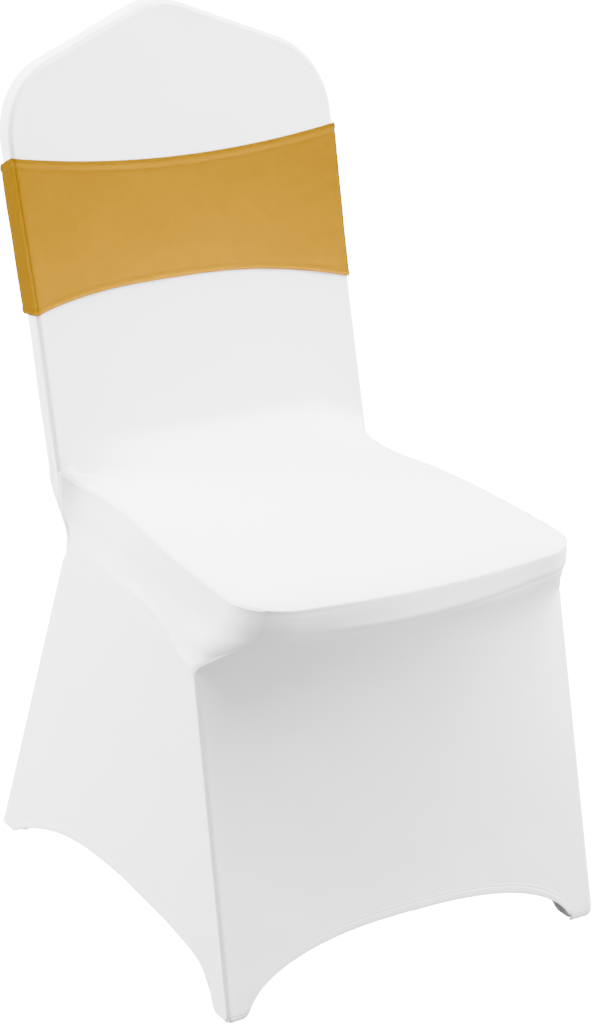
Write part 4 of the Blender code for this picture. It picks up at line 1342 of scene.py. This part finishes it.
def yellow_knit():
    finish = Finish("golden_yellow_knit_fine", Roughness=0.7, Specular_IOR_Level=0.02)
    u, v = finish.uv()
    down, up, join = (finish.attribute(name) for name in ("seam", "hem", "edge"))
    thread = stitches(down, u, BAND_STITCHING.place) + stitches(up, u, BAND_LOWER_STITCHING.place)
    slubs, mottling = cloth_noise(finish, 160.0, 14.0)
    colour = finish.blend(mottling, DEEP_GOLD, PALE_GOLD)
    # painted shade under the band's rolled top hem
    colour = finish.blend(shade(down, BAND_HEM_SHADE), colour, SHADED_GOLD)
    # painted shadow along the band's bottom edge
    colour = finish.blend(shade(up, BAND_FOOT_SHADE), colour, PAINTED_SHADOW_BROWN)
    # painted shade in the groove of the band's side seam
    colour = finish.blend(shade(join, BAND_JOIN_SHADE), colour, PAINTED_SHADOW_BROWN)
    finish.feed("Base Color", finish.blend(thread * GOLD_THREAD_SHARE, colour, GOLD_THREAD))
    finish.feed("Roughness", slubs * ROUGH_SPREAD + (GOLD_ROUGH - ROUGH_SPREAD / 2))
    raise_cloth(finish, u, v, slubs, thread, YELLOW_BUMPS)
    return finish.material


# ---- Pieces

white = white_knit("white_stretch_knit_fine", WHITE, 0.80)
pocket_white = white_knit("white_pocket_cloth_fine", POCKET_WHITE, 0.84)
yellow = yellow_knit()


def cover_sheet(name, grids, relief, node):
    return sheet(name, grids, COVER_THICKNESS, white, relief, node)


def both_hands(grids):
    return ("right", grids), ("left", [grid.mirrored() for grid in grids])


front = cover_sheet("cover_front", front_panel(), front_relief, "front_panel")
back = cover_sheet("cover_back", back_panel(), cover_relief, "back_panel")
for hand, grids in both_hands(side_panel()):
    piece = cover_sheet(f"cover_side_{hand}", grids, side_relief, f"side_panel_{hand}")
for place, carrier in (("front", front), ("rear", back)):
    for hand, grids in both_hands(pocket(place == "front")):
        piece = sheet(
            f"pocket_{place}_{hand}", grids, POCKET_THICKNESS, pocket_white, pocket_relief,
            f"foot_pocket_{place}_{hand}",
        )
sash = sheet(
    "sash", sash_band(), BAND_THICKNESS, yellow, band_relief, "sash_band"
)

# ---- Stage, light and camera

BACKDROP = 22.0
AMBIENT = 0.85
FLOOR_TONE = 0.12
FLOOR_SIZE = 30
FLOOR_Z = -0.0005
Lamp = namedtuple("Lamp", "name place size power")
LAMPS = (
    Lamp("top", (0.8, 0.5, 3.3), 1.8, 450),
    Lamp("front_top", (0.65, -1.2, 3.3), 1.2, 285),
    Lamp("right", (3.2, -1.1, 1.2), 2.0, 300),
    Lamp("rear_left", (-2.4, 2.4, 1.3), 2.0, 850),
    Lamp("front_low", (0.4, -3.2, 0.3), 1.8, 110),
)
AIM = Vector((0, 0, 0.4))
CAMERA_TURN = (-32.05, 21.02, 0.85)  # azimuth, elevation and roll
CAMERA_PLACE = (-1.4913, -2.3950, 1.4605)
CAMERA_LENS = 98.26
CAMERA_SHIFT = (6.8 / 1024, 41.3 / 1024)  # shares of the frame's height


def studio():
    """Even white light all round, with the backdrop seen brighter than it lights."""
    world = bpy.data.worlds.new("studio")
    tree = Tree(world)
    even = tree.set_values("Background", {"Color": (1, 1, 1, 1), "Strength": AMBIENT})
    wall = tree.node("ShaderNodeBackground", None, {"Color": (1, 1, 1, 1), "Strength": BACKDROP})
    tree.show_backdrop(even, wall, "World Output")
    bpy.context.scene.world = world


def stage():
    """A plain white floor, which the lens sees as bright as the backdrop."""
    bpy.ops.mesh.primitive_plane_add(size=FLOOR_SIZE, location=(0, 0, FLOOR_Z))
    floor = bpy.context.object
    floor.name = "floor"
    tone = (FLOOR_TONE, FLOOR_TONE, FLOOR_TONE, 1)
    finish = Finish("floor_white", Base_Color=tone, Roughness=0.9, Specular_IOR_Level=0.0)
    glow = finish.node("ShaderNodeEmission", None, {"Strength": BACKDROP})
    finish.show_backdrop(finish.shader, glow, "Material Output")
    floor.data.materials.append(finish.material)


def area_light(lamp, left_out):
    """A square soft light aimed at the cover, which leaves some pieces to the even light."""
    data = bpy.data.lights.new(lamp.name, "AREA")
    data.size = lamp.size
    data.energy = lamp.power
    light = bpy.data.objects.new(lamp.name, data)
    bpy.context.scene.collection.objects.link(light)
    light.location = lamp.place
    light.rotation_euler = (AIM - Vector(lamp.place)).to_track_quat("-Z", "Y").to_euler()
    lit = bpy.data.collections.new(f"{lamp.name}_lit")
    light.light_linking.receiver_collection = lit
    for piece in left_out:
        lit.objects.link(piece)
    for entry in lit.collection_objects:
        entry.light_linking.link_state = "EXCLUDE"


def camera():
    azimuth, elevation, roll = (math.radians(angle) for angle in CAMERA_TURN)
    level = Vector((math.cos(azimuth), math.sin(azimuth), 0))
    back = Vector((
        math.sin(azimuth) * math.cos(elevation),
        -math.cos(azimuth) * math.cos(elevation),
        math.sin(elevation),
    ))
    upright = back.cross(level)
    right = level * math.cos(roll) + upright * math.sin(roll)
    up = upright * math.cos(roll) - level * math.sin(roll)
    data = bpy.data.cameras.new("camera")
    seen = bpy.data.objects.new("camera", data)
    bpy.context.scene.collection.objects.link(seen)
    turn = Matrix((right, up, back)).transposed().to_4x4()
    seen.matrix_world = Matrix.Translation(CAMERA_PLACE) @ turn
    data.lens = CAMERA_LENS
    data.shift_x, data.shift_y = CAMERA_SHIFT
    bpy.context.scene.camera = seen


studio()
stage()
for lamp in LAMPS:
    area_light(lamp, [sash])
camera()
